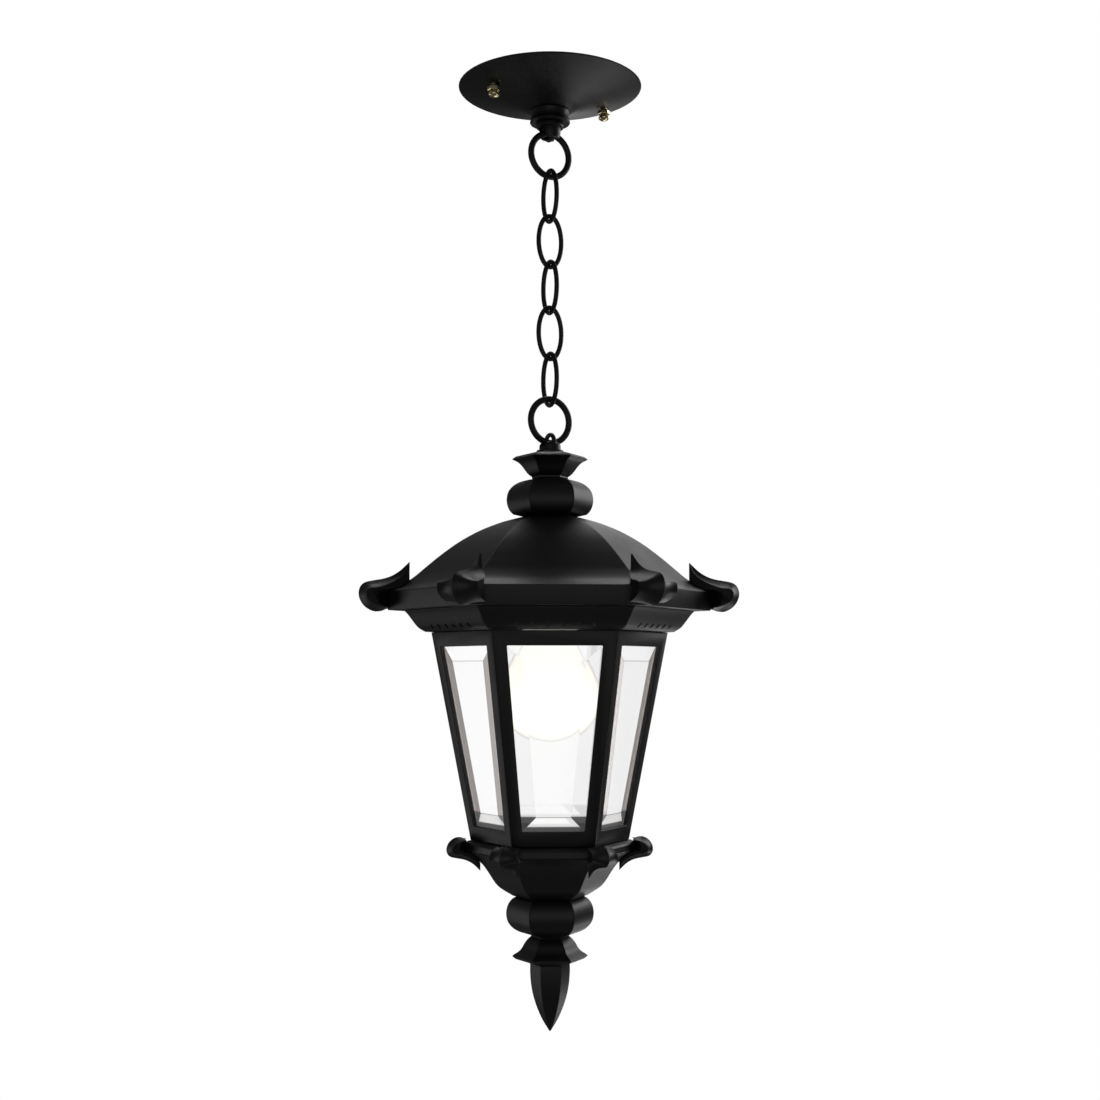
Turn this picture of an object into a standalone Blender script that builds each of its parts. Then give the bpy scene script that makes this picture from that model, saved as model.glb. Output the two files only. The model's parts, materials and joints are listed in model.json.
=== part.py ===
"""Hexagonal hanging lantern: canopy, chain, roof, glazed cage, bowl and finial.

Metres, +Z up.  The origin is the centre of the ceiling plane that the crossbar
bolts to, and the hexagon's corners lie at 0, 60, 120 ... degrees from +X.
"""
import math

import bmesh
import bpy
from mathutils import Matrix, Vector

# ------------------------------------------------------------------ fits
GAP = 0.0003                 # clearance between pieces that touch
SIDES = 6                    # the lantern's plan
ROUND = 24                   # facets on a round turned piece
CHAIN_TURN = math.radians(28)    # chain plane and canopy screws, about Z
COS30 = math.cos(math.radians(30))

# ------------------------------------------------------------------ canopy
CANOPY_R = 0.0635
CANOPY_DEPTH = 0.0172
CANOPY_WALL = 0.0012
STUD_PITCH = 0.0889          # between the two canopy screws
STUD_R = 0.0020
BAR_LENGTH = 0.106
BAR_WIDTH = 0.022
BAR_THICK = 0.0018
HEX_NUT_H = 0.0030
HEX_NUT_R = 0.0045
BALL_NUT_H = 0.0042
BALL_NUT_R = 0.0038
COLLAR_R = 0.0142
COLLAR_H = 0.0085
LOOP_NECK_R = 0.0075
LOOP_FLANGE_R = 0.0094
LOOP_FLANGE_H = 0.0014
PIPE_R = 0.0048              # threaded pipe of both loops
WIRE_BORE_R = 0.0026
LOCKNUT_R = 0.0092
LOCKNUT_H = 0.0032

# ------------------------------------------------------------------ rings and chain
EYE_WIRE_R = 0.0015
EYE_HOLE_R = 0.00415
RING_OD = 0.0345
RING_WIRE_R = 0.0022
LINK_LENGTH = 0.0390
LINK_WIDTH = 0.0213
LINK_WIRE_R = 0.00165
LINK_COUNT = 5
CHEEK_R = 0.0074             # the eyes' cheeks, on both sides of a ring
SLOT_HALF = RING_WIRE_R + 0.0015
EYE_ROOM = 0.0008            # under the bottom ring, so that the lantern can swing

# ------------------------------------------------------------------ lantern, top to bottom
NECK_H = 0.0022
CHEEK_RISE = 0.0036          # cheeks above the neck, beside the bottom ring
SEAT_R = 0.0092              # flange of the lantern's loop
SEAT_H = 0.0017
CAP_R = 0.0262               # all hexagon radii are to the corners
CAP_H = 0.0176
CAP_NECK_R = 0.0125
KNOP_R = 0.0297
KNOP_H = 0.0255
ROOF_TOP_R = 0.0200
EAVE_R = 0.1126
ROOF_H = 0.0511
FASCIA_H = 0.0125
FASCIA_BATTER = 0.0032
ROOF_WALL = 0.0020
EAVE_OVERHANG = 0.0140       # how far the eave stands out past the cornice
CORNICE_TOP_R = EAVE_R - EAVE_OVERHANG
CORNICE_H = 0.0143
CORNICE_WALL = 0.0020
SLOTS_PER_FACE = 6
SLOT_WIDTH = 0.0028
SLOT_HEIGHT = 0.0040
SLOT_PITCH = 0.0098
CAGE_TOP_R = 0.0802
CAGE_BOTTOM_R = 0.0532
CAGE_H = 0.1385
CAGE_WALL = 0.0037           # measured at the corners
RAIL_TOP_H = 0.0098
RAIL_BOTTOM_H = 0.0100
POST_TOP_W = 0.0087          # width of post on one face, beside the window
POST_BOTTOM_W = 0.0075
GLASS_EDGE = 0.0012
GLASS_THICK = 0.0030
GLASS_BEVEL = 0.0125
GLASS_LAP = 0.0030           # hidden behind the frame on every side
KEEPER_H = 0.0033
KEEPER_W = 0.0080
TRAY_LEDGE = 0.0050          # how far the tray stands out past the foot of the cage
TRAY_R = CAGE_BOTTOM_R + TRAY_LEDGE
TRAY_H = 0.0069
TRAY_LIP_H = 0.0066
TRAY_FLOOR = 0.0022
TRAY_HOLE_R = 0.0120
BOWL_H = 0.0294
BOWL_BOTTOM_R = 0.0226
BOWL_WALL = 0.0020
LOWER_KNOP_R = 0.0294
LOWER_KNOP_H = 0.0253
SKIRT_R = 0.0254
SKIRT_H = 0.0182
SKIRT_NECK_R = 0.0126
SPIKE_R = 0.0133
SPIKE_H = 0.0445
ROD_R = 0.0030
ROD_IN_SPIKE = 0.0130

# ------------------------------------------------------------------ lamp holder
STEM_DROP = 0.0290           # pipe below the roof's apex
SOCKET_R = 0.0196
SOCKET_H = 0.0480
CUP_WALL = 0.0012
CUP_H = 0.0160
BASE_R = 0.0131              # screw base of the bulb
BASE_H = 0.0265
BULB_R = 0.0300
BULB_H = 0.0790
BULB_WALL = 0.0010
SHELL_WALL = 0.0006

# ------------------------------------------------------------------ corner scrolls
SCROLL_WIDTH = 0.0288
SCROLL_REACH = 0.0342        # from the pointed tip to the outside of the roll
SCROLL_TIP_IN = 0.0176       # the tip stands this far inside the eave corner
SCROLL_TIP_UP = 0.0204       # and this far above the eave
LOWER_SCROLL_SCALE = 0.665


# ------------------------------------------------------------------ derived heights
COLLAR_TOP = -CANOPY_DEPTH - GAP
LOOP_FLANGE_TOP = COLLAR_TOP - COLLAR_H - GAP
LOOP_FLANGE_BOTTOM = LOOP_FLANGE_TOP - LOOP_FLANGE_H
EYE_FLOOR = LOOP_FLANGE_BOTTOM - 2 * EYE_HOLE_R + 0.0002
EYE_PIVOT = EYE_FLOOR - EYE_WIRE_R
RING_MID_R = RING_OD / 2 - RING_WIRE_R
TOP_RING_Z = EYE_FLOOR + GAP + RING_WIRE_R - RING_MID_R
TOP_RING_LOW = TOP_RING_Z - RING_MID_R            # centre of the wire at its foot
LINK_STEP = LINK_LENGTH - 4 * LINK_WIRE_R - GAP
FIRST_LINK_TOP = TOP_RING_LOW + RING_WIRE_R + GAP + 2 * LINK_WIRE_R
LINK_TOPS = [FIRST_LINK_TOP - i * LINK_STEP for i in range(LINK_COUNT)]
LAST_LINK_LOW = LINK_TOPS[-1] - LINK_LENGTH + LINK_WIRE_R
BOTTOM_RING_Z = LAST_LINK_LOW + LINK_WIRE_R + GAP + RING_WIRE_R - RING_MID_R
BOTTOM_RING_LOW = BOTTOM_RING_Z - RING_MID_R
LANTERN_EYE_Z = BOTTOM_RING_LOW + RING_WIRE_R + GAP - EYE_HOLE_R
NECK_TOP = BOTTOM_RING_LOW - RING_WIRE_R - EYE_ROOM
SEAT_BOTTOM = NECK_TOP - NECK_H - SEAT_H
CAP_TOP = SEAT_BOTTOM - GAP
KNOP_TOP = CAP_TOP - CAP_H - GAP
ROOF_TOP = KNOP_TOP - KNOP_H - GAP
EAVE_Z = ROOF_TOP - ROOF_H
FASCIA_FOOT = EAVE_Z - FASCIA_H
CORNICE_TOP = FASCIA_FOOT - GAP
CORNICE_FOOT = CORNICE_TOP - CORNICE_H
CAGE_TOP = CORNICE_FOOT - GAP
CAGE_FOOT = CAGE_TOP - CAGE_H
TRAY_TOP = CAGE_FOOT - GAP
TRAY_FOOT = TRAY_TOP - TRAY_H
BOWL_TOP = TRAY_FOOT - GAP
BOWL_FOOT = BOWL_TOP - BOWL_H
LOWER_KNOP_TOP = BOWL_FOOT - GAP
LOWER_KNOP_FOOT = LOWER_KNOP_TOP - LOWER_KNOP_H
SKIRT_TOP = LOWER_KNOP_FOOT - GAP
SKIRT_FOOT = SKIRT_TOP - SKIRT_H
SPIKE_TOP = SKIRT_FOOT - GAP
SPIKE_FOOT = SPIKE_TOP - SPIKE_H
STEM_TOP = SEAT_BOTTOM + SEAT_H + 0.4 * NECK_H
STEM_FOOT = ROOF_TOP - STEM_DROP
CUP_TOP = STEM_FOOT + CUP_WALL
SOCKET_TOP = STEM_FOOT - GAP
SOCKET_FOOT = SOCKET_TOP - SOCKET_H
BASE_FOOT = SOCKET_FOOT + 0.0045
BASE_TOP = BASE_FOOT + BASE_H
GLASS_TOP = CAGE_TOP - RAIL_TOP_H + GLASS_LAP
GLASS_FOOT = CAGE_FOOT + RAIL_BOTTOM_H - GLASS_LAP
PIPE_HEX = (PIPE_R + GAP) / COS30     # hexagonal core round the pipe
ROD_HEX = (ROD_R + GAP) / COS30


# ------------------------------------------------------------------ scene and materials
for old in list(bpy.data.objects):
    bpy.data.objects.remove(old, do_unlink=True)

parts = bpy.data.collections.new("hanging_lantern")
cutters = bpy.data.collections.new("cutters")
for group in (parts, cutters):
    bpy.context.scene.collection.children.link(group)


def material(name, colour, roughness, metallic=0.0, glass=0.0):
    """One Principled material with constant values."""
    mat = bpy.data.materials.new(name)
    mat.use_nodes = True
    shader = mat.node_tree.nodes["Principled BSDF"]
    shader.inputs["Base Color"].default_value = (*colour, 1.0)
    shader.inputs["Roughness"].default_value = roughness
    shader.inputs["Metallic"].default_value = metallic
    shader.inputs["Transmission Weight"].default_value = glass
    mat.diffuse_color = (*colour, 1.0)
    return mat


FINISH = {
    "coat": ((0.014, 0.014, 0.015), 0.40, 0.0, 0.0),
    "wire": ((0.016, 0.016, 0.017), 0.45, 0.0, 0.0),
    "brass": ((0.66, 0.52, 0.24), 0.28, 1.0, 0.0),
    "zinc": ((0.62, 0.63, 0.65), 0.38, 1.0, 0.0),
    "alloy": ((0.75, 0.74, 0.70), 0.35, 1.0, 0.0),
    "china": ((0.86, 0.85, 0.82), 0.30, 0.0, 0.0),
    "pane": ((0.96, 0.98, 0.98), 0.03, 0.0, 1.0),
    "frost": ((0.98, 0.95, 0.88), 0.45, 0.0, 0.5),
    "screw_green": ((0.05, 0.30, 0.10), 0.40, 0.6, 0.0),
}


def add(name, mesh, finish, group=parts):
    """Put a mesh in the part as an object with a material of its own."""
    obj = bpy.data.objects.new(name, mesh)
    group.objects.link(obj)
    if group is parts:
        mesh.materials.clear()
        mesh.materials.append(material("mat_" + name, *FINISH[finish]))
    else:
        obj.hide_render = True
        obj.display_type = "WIRE"
    return obj


# ------------------------------------------------------------------ shape helpers
def lathe(name, profile, steps, finish="coat", closed=True, smooth=False, group=parts):
    """Turn a profile of (radius, z) about Z.

    It runs down its outer side first; a closed one returns up its inner side.
    """
    mesh = bpy.data.meshes.new(name)
    verts = [(r, 0.0, z) for r, z in profile]
    count = len(verts)
    edges = [(i, (i + 1) % count) for i in range(count if closed else count - 1)]
    mesh.from_pydata(verts, edges, [])
    obj = add(name, mesh, finish, group)
    screw = obj.modifiers.new("turn", "SCREW")
    screw.steps = screw.render_steps = steps
    screw.use_merge_vertices = True
    screw.merge_threshold = 0.00005
    screw.use_smooth_shade = smooth
    return obj


def spline(points, per_span):
    """A smooth (Catmull-Rom) line through hand-set points."""
    pts = [Vector(p) for p in points]
    pts = [2 * pts[0] - pts[1]] + pts + [2 * pts[-1] - pts[-2]]
    out = []
    for a, b, c, d in zip(pts, pts[1:], pts[2:], pts[3:]):
        for i in range(per_span):
            t = i / per_span
            out.append(0.5 * (2 * b + (c - a) * t + (2 * a - 5 * b + 4 * c - d) * t * t
                              + (3 * b - a - 3 * c + d) * t ** 3))
    out.append(pts[-2])
    return [tuple(p) for p in out]


def inward(profile, wall):
    """The same line moved to its inner side (it runs down its outer side)."""
    pts = [Vector(p) for p in profile]
    out = []
    for i, p in enumerate(pts):
        before = (p - pts[i - 1]).normalized() if i else None
        after = (pts[i + 1] - p).normalized() if i + 1 < len(pts) else None
        along = before if after is None else after if before is None else before + after
        along.normalize()
        keep = 1.0 if before is None or after is None else max(0.6, along.dot(after))
        out.append(tuple(p + Vector((along.y, -along.x)) * (wall / keep)))
    return out


def boolean(obj, other, operation="DIFFERENCE"):
    mod = obj.modifiers.new(operation.lower(), "BOOLEAN")
    mod.operation = operation
    mod.solver = "EXACT"
    mod.object = other
    return mod


def cylinder(name, radius, top, foot, group=cutters, finish="zinc", sides=24, at=(0.0, 0.0)):
    mesh = bpy.data.meshes.new(name)
    bm = bmesh.new()
    bmesh.ops.create_cone(bm, cap_ends=True, segments=sides, radius1=radius,
                          radius2=radius, depth=top - foot)
    bm.to_mesh(mesh)
    bm.free()
    obj = add(name, mesh, finish, group)
    obj.location = (at[0], at[1], (top + foot) / 2)
    return obj


def box(name, size, group=cutters, finish="zinc"):
    mesh = bpy.data.meshes.new(name)
    bm = bmesh.new()
    bmesh.ops.create_cube(bm, size=1.0)
    bmesh.ops.scale(bm, vec=size, verts=bm.verts)
    bm.to_mesh(mesh)
    bm.free()
    return add(name, mesh, finish, group)


def wire(name, points, radius, plane_turn, finish="wire", group=parts):
    """A closed loop of round wire from (across, up) points, in an upright plane."""
    curve = bpy.data.curves.new(name, "CURVE")
    curve.dimensions = "3D"
    curve.bevel_depth = radius
    curve.bevel_resolution = 2
    curve.use_fill_caps = True
    path = curve.splines.new("POLY")
    path.points.add(len(points) - 1)
    for point, (across, up) in zip(path.points, points):
        point.co = (across, 0.0, up, 1.0)
    path.use_cyclic_u = True
    obj = bpy.data.objects.new(name, curve)
    group.objects.link(obj)
    if group is parts:
        curve.materials.append(material("mat_" + name, *FINISH[finish]))
    obj.rotation_euler.z = plane_turn
    return obj


def as_mesh(curve_obj, name, finish="wire"):
    """Make a curve object a mesh, so that it can be joined and cut."""
    bpy.context.view_layer.update()
    seen = curve_obj.evaluated_get(bpy.context.evaluated_depsgraph_get())
    mesh = bpy.data.meshes.new_from_object(seen)
    bm = bmesh.new()
    bm.from_mesh(mesh)
    bmesh.ops.remove_doubles(bm, verts=bm.verts, dist=0.00001)
    bm.to_mesh(mesh)
    bm.free()
    place = curve_obj.matrix_world.copy()
    bpy.data.objects.remove(curve_obj, do_unlink=True)
    obj = add(name, mesh, finish)
    obj.matrix_world = place
    return obj


def oval(length, width, centre_up, points=24):
    """Centre line of a link or ring, as (across, up)."""
    return [(width / 2 * math.sin(math.tau * i / points),
             centre_up + length / 2 * math.cos(math.tau * i / points))
            for i in range(points)]


def cheek_slot(name, body, top, foot):
    """Open a loop's body between its cheeks, along the plane of the ring it carries."""
    slot = box(name, (4 * CHEEK_R, 2 * SLOT_HALF, top - foot))
    slot.location.z = (top + foot) / 2
    slot.rotation_euler.z = CHAIN_TURN
    boolean(body, slot)


def hinge(name, z):
    """An empty on the hinge line at height z, for what swings there."""
    empty = bpy.data.objects.new("pivot_" + name, None)
    parts.objects.link(empty)
    empty.location.z = z
    return empty


def hang(obj, parent):
    obj.parent = parent
    obj.matrix_parent_inverse = Matrix.Translation(-parent_place(parent))


def parent_place(parent):
    place = parent.location.copy()
    while parent.parent:
        parent = parent.parent
        place += parent.location
    return place


def cage_r(z, inset=0.0):
    """Corner radius of the tapering cage at height z."""
    slope = (CAGE_TOP_R - CAGE_BOTTOM_R) / CAGE_H
    return CAGE_BOTTOM_R + slope * (z - CAGE_FOOT) - inset


# ------------------------------------------------------------------ crossbar and screws
ALONG = Vector((math.cos(CHAIN_TURN), math.sin(CHAIN_TURN), 0.0))
TURN_V = CHAIN_TURN + math.radians(90)

crossbar = box("crossbar", (BAR_LENGTH, BAR_WIDTH, BAR_THICK), parts)
crossbar.location.z = -BAR_THICK / 2
crossbar.rotation_euler.z = CHAIN_TURN
ease = crossbar.modifiers.new("corners", "BEVEL")
ease.width = 0.0004
ease.segments = 1
for side, tag in ((-1, "a"), (1, "b")):
    slot = box("bar_slot_" + tag, (0.010, 0.0046, 4 * BAR_THICK))
    slot.location = ALONG * (side * STUD_PITCH * 0.30) - Vector((0, 0, BAR_THICK / 2))
    slot.rotation_euler.z = CHAIN_TURN
    boolean(crossbar, slot)
    hole = cylinder("bar_hole_" + tag, STUD_R + GAP, BAR_THICK, -3 * BAR_THICK,
                    at=ALONG.xy * (side * STUD_PITCH / 2))
    boolean(crossbar, hole)

ground_at = ALONG.xy * (STUD_PITCH * 0.15) + Vector((-ALONG.y, ALONG.x)) * BAR_WIDTH * 0.27
cylinder("ground_screw", 0.0036, -BAR_THICK - GAP, -BAR_THICK - GAP - 0.0024,
         group=parts, finish="screw_green", sides=SIDES, at=ground_at)

# ------------------------------------------------------------------ canopy
face = [(CANOPY_R * 0.986, CANOPY_DEPTH * -0.055), (CANOPY_R * 0.945, CANOPY_DEPTH * -0.102),
        (CANOPY_R * 0.819, CANOPY_DEPTH * -0.244), (CANOPY_R * 0.700, CANOPY_DEPTH * -0.372),
        (CANOPY_R * 0.504, CANOPY_DEPTH * -0.593), (CANOPY_R * 0.346, CANOPY_DEPTH * -0.802),
        (CANOPY_R * 0.262, CANOPY_DEPTH * -0.950)]
skin = [(CANOPY_R, 0.0), (CANOPY_R, CANOPY_DEPTH * -0.030)] + face + [
    (COLLAR_R + 0.0012, -CANOPY_DEPTH), (PIPE_R + GAP, -CANOPY_DEPTH)]
lining = [(PIPE_R + GAP, -CANOPY_DEPTH + CANOPY_WALL),
          (COLLAR_R + 0.0006, -CANOPY_DEPTH + CANOPY_WALL)]
lining += [(r - CANOPY_WALL * 0.35, z + CANOPY_WALL) for r, z in reversed(face)]
lining = [p for p in lining if p[1] < -0.0004] + [(CANOPY_R - 2.5 * CANOPY_WALL, 0.0)]
canopy = lathe("canopy", skin + lining, 40, smooth=True)


def face_z(radius):
    """Height of the canopy's face at a radius from its middle."""
    for (r_out, z_out), (r_in, z_in) in zip(face, face[1:]):
        if r_in <= radius <= r_out:
            return z_out + (z_in - z_out) * (r_out - radius) / (r_out - r_in)
    return face[0][1] if radius > face[0][0] else face[-1][1]


for side, tag in ((-1, "a"), (1, "b")):
    at = ALONG.xy * (side * STUD_PITCH / 2)
    # the face slopes, so a nut seats where its inner corner meets it
    seat = face_z(STUD_PITCH / 2 - HEX_NUT_R) - GAP
    hole = cylinder("canopy_hole_" + tag, STUD_R + GAP, 0.001, seat - 0.002, at=at)
    boolean(canopy, hole)
    foot = seat - HEX_NUT_H - BALL_NUT_H
    cylinder("canopy_stud_" + tag, STUD_R, BAR_THICK * -0.1, foot + 0.0012, group=parts,
             sides=16, at=at)
    for name, radius, top, low, facets in (
            ("stud_hex_nut_", HEX_NUT_R, seat, seat - HEX_NUT_H, SIDES),
            ("ball_nut_", BALL_NUT_R, seat - HEX_NUT_H - GAP, foot - GAP, 16)):
        bore = STUD_R + GAP
        if facets == SIDES:
            core = bore / COS30
            nut = lathe(name + tag, [(radius, top), (radius, low), (core, low), (core, top)],
                        facets, "brass")
        else:
            rise = top - low
            dome = [(radius * math.cos(a), low + rise * 0.55 - rise * 0.55 * math.sin(a))
                    for a in (math.radians(22.5 * i) for i in range(5))]
            blind = foot + 0.0012 - GAP
            line = [(0.0, blind), (bore, blind), (bore, top), (radius * 0.80, top),
                    (radius * 0.86, top - rise * 0.22), (radius, top - rise * 0.30)]
            line += dome[:-1] + [(0.0, low)]
            nut = lathe(name + tag, line, facets, "brass", closed=False, smooth=True)
        nut.location.xy = at

# ------------------------------------------------------------------ collar, loop and locknut
bore = LOOP_NECK_R + GAP
foot = COLLAR_TOP - COLLAR_H
bell = spline([(COLLAR_R * 0.80, COLLAR_TOP - 0.0012), (COLLAR_R * 0.93, COLLAR_TOP - 0.0030),
               (COLLAR_R, COLLAR_TOP - 0.0052), (COLLAR_R * 0.985, COLLAR_TOP - 0.0064),
               (COLLAR_R * 0.88, foot + 0.0006)], 1)
lathe("screw_collar", [(COLLAR_R * 0.78, COLLAR_TOP)] + bell
      + [(COLLAR_R * 0.72, foot), (bore, foot), (bore, COLLAR_TOP)], ROUND, smooth=True)

eye = as_mesh(wire("eye_line", oval(2 * (EYE_HOLE_R + EYE_WIRE_R), 2 * (EYE_HOLE_R + EYE_WIRE_R),
                                    EYE_FLOOR + EYE_HOLE_R, 16), EYE_WIRE_R, TURN_V), "canopy_loop")
spigot_top = -CANOPY_DEPTH + CANOPY_WALL + GAP + LOCKNUT_H + 0.0016
neck = lathe("loop_body", [
    (0.0, spigot_top), (PIPE_R, spigot_top), (PIPE_R, COLLAR_TOP), (LOOP_NECK_R, COLLAR_TOP),
    (LOOP_NECK_R, LOOP_FLANGE_TOP), (LOOP_FLANGE_R, LOOP_FLANGE_TOP),
    (LOOP_FLANGE_R, LOOP_FLANGE_BOTTOM), (CHEEK_R * 0.97, LOOP_FLANGE_BOTTOM - 0.0004),
    (CHEEK_R, LOOP_FLANGE_BOTTOM - 0.0030), (CHEEK_R * 0.93, LOOP_FLANGE_BOTTOM - 0.0062),
    (CHEEK_R * 0.70, LOOP_FLANGE_BOTTOM - 0.0088), (0.0, LOOP_FLANGE_BOTTOM - 0.0088)],
    24, closed=False, group=cutters)
cheek_slot("loop_slot", neck, LOOP_FLANGE_BOTTOM - 0.0015, LOOP_FLANGE_BOTTOM - 0.0150)
boolean(eye, neck, "UNION")
boolean(eye, cylinder("loop_bore", WIRE_BORE_R, spigot_top + 0.001,
                      EYE_FLOOR + EYE_HOLE_R))

lathe("loop_locknut", [
    (LOCKNUT_R, spigot_top - 0.0016), (LOCKNUT_R, -CANOPY_DEPTH + CANOPY_WALL + GAP),
    (PIPE_HEX, -CANOPY_DEPTH + CANOPY_WALL + GAP), (PIPE_HEX, spigot_top - 0.0016)],
    SIDES, "zinc")

# ------------------------------------------------------------------ rings and chain
swing = hinge("top_ring", EYE_PIVOT)
ring = wire("top_ring", oval(2 * RING_MID_R, 2 * RING_MID_R, TOP_RING_Z, 28),
            RING_WIRE_R, CHAIN_TURN)
hang(ring, swing)

link_line = dict(length=LINK_LENGTH - 2 * LINK_WIRE_R, width=LINK_WIDTH - 2 * LINK_WIRE_R)
wire_above = TOP_RING_LOW
for i, top in enumerate(LINK_TOPS):
    below = hinge("chain_link_%d" % (i + 1), 0.0)
    below.location.z = wire_above - parent_place(swing).z
    below.parent = swing
    swing = below
    link = wire("chain_link_%d" % (i + 1), oval(centre_up=top - LINK_LENGTH / 2, **link_line),
                LINK_WIRE_R, CHAIN_TURN if i % 2 else TURN_V)
    hang(link, swing)
    wire_above = top - LINK_LENGTH + LINK_WIRE_R

below = hinge("bottom_ring", wire_above - parent_place(swing).z)
below.parent = swing
ring = wire("bottom_ring", oval(2 * RING_MID_R, 2 * RING_MID_R, BOTTOM_RING_Z, 28),
            RING_WIRE_R, CHAIN_TURN)
hang(ring, below)
lantern = hinge("lantern", BOTTOM_RING_LOW - parent_place(below).z)
lantern.parent = below
above_lantern = set(parts.objects)

# ------------------------------------------------------------------ lantern loop and stem
eye = as_mesh(wire("eye_line", oval(2 * (EYE_HOLE_R + EYE_WIRE_R), 2 * (EYE_HOLE_R + EYE_WIRE_R),
                                    LANTERN_EYE_Z, 16), EYE_WIRE_R, TURN_V), "lantern_loop")
neck = lathe("lantern_loop_body", [
    (0.0, NECK_TOP + CHEEK_RISE), (CHEEK_R * 0.66, NECK_TOP + CHEEK_RISE),
    (CHEEK_R * 0.86, NECK_TOP + CHEEK_RISE * 0.72), (CHEEK_R * 0.98, NECK_TOP + CHEEK_RISE * 0.3),
    (CHEEK_R, NECK_TOP - NECK_H), (SEAT_R, NECK_TOP - NECK_H - 0.0002), (SEAT_R, SEAT_BOTTOM),
    (0.0, SEAT_BOTTOM)], 24, closed=False, group=cutters)
cheek_slot("lantern_slot", neck, NECK_TOP + 2 * CHEEK_RISE, NECK_TOP)
boolean(eye, neck, "UNION")
boolean(eye, cylinder("seat_bore", PIPE_R + GAP, STEM_TOP + GAP, SEAT_BOTTOM - 0.004))
boolean(eye, cylinder("wire_bore", WIRE_BORE_R, LANTERN_EYE_Z, SEAT_BOTTOM - 0.005))

lathe("stem", [(PIPE_R, STEM_TOP), (PIPE_R, STEM_FOOT), (WIRE_BORE_R, STEM_FOOT),
               (WIRE_BORE_R, STEM_TOP)], 24, "zinc", smooth=True)
nut_top = ROOF_TOP - ROOF_WALL - GAP
lathe("stem_nut", [(LOCKNUT_R, nut_top), (LOCKNUT_R, nut_top - LOCKNUT_H * 1.2),
                   (PIPE_HEX, nut_top - LOCKNUT_H * 1.2), (PIPE_HEX, nut_top)], SIDES, "zinc")

# ------------------------------------------------------------------ cap and upper knop
line = [(CAP_R * 0.52, CAP_TOP), (CAP_R * 0.897, CAP_TOP - CAP_H * 0.135),
        (CAP_R, CAP_TOP - CAP_H * 0.240)]
line += spline([(CAP_R * 0.935, CAP_TOP - CAP_H * 0.290), (CAP_R * 0.83, CAP_TOP - CAP_H * 0.375),
                (CAP_R * 0.735, CAP_TOP - CAP_H * 0.515), (CAP_R * 0.655, CAP_TOP - CAP_H * 0.675),
                (CAP_R * 0.575, CAP_TOP - CAP_H * 0.820), (CAP_NECK_R, CAP_TOP - CAP_H * 0.930)], 1)
line += [(CAP_NECK_R, CAP_TOP - CAP_H), (PIPE_HEX, CAP_TOP - CAP_H), (PIPE_HEX, CAP_TOP)]
lathe("cap", line, SIDES)


def knop_line(top, height, radius, neck_high, neck_low):
    """A full round bulge between two necks."""
    foot = top - height
    bulge = ((0.500, 0.015), (0.660, 0.062), (0.775, 0.120), (0.860, 0.190), (0.930, 0.280),
             (0.978, 0.390), (1.000, 0.550), (0.986, 0.690), (0.948, 0.810), (0.898, 0.895),
             (0.845, 0.952))
    return ([(neck_high, top)] + [(radius * f, top - height * g) for f, g in bulge]
            + [(neck_low, foot)])


line = knop_line(KNOP_TOP, KNOP_H, KNOP_R, CAP_NECK_R, ROOF_TOP_R - 0.0004)
lathe("upper_knop", line + [(PIPE_HEX, KNOP_TOP - KNOP_H), (PIPE_HEX, KNOP_TOP)], SIDES)

# ------------------------------------------------------------------ roof
span = EAVE_R - ROOF_TOP_R
slope_line = spline([(ROOF_TOP_R + span * f, ROOF_TOP - ROOF_H * g) for f, g in (
    (0.000, 0.004), (0.066, 0.034), (0.166, 0.088), (0.307, 0.192), (0.453, 0.340),
    (0.588, 0.517), (0.700, 0.685), (0.785, 0.812), (0.885, 0.925), (1.000, 1.000))], 2)
roof_line = [(ROOF_TOP_R - 0.0010, ROOF_TOP)] + slope_line
fascia = [(EAVE_R, EAVE_Z - 0.0008), (EAVE_R - FASCIA_BATTER, FASCIA_FOOT)]
under = inward(slope_line, ROOF_WALL)[1:-1]
soffit = [(CORNICE_TOP_R - 0.0060, FASCIA_FOOT), (CORNICE_TOP_R - 0.0060, FASCIA_FOOT + 0.0030),
          (EAVE_R - FASCIA_BATTER - 0.0030, FASCIA_FOOT + 0.0030)]
inside = [p for p in reversed(under) if p[0] < EAVE_R - FASCIA_BATTER - 0.0030]
apex = [(ROOF_TOP_R - 0.0040, ROOF_TOP - ROOF_WALL), (PIPE_HEX, ROOF_TOP - ROOF_WALL),
        (PIPE_HEX, ROOF_TOP)]
lathe("roof", roof_line + fascia + soffit + inside + apex, SIDES)


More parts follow.
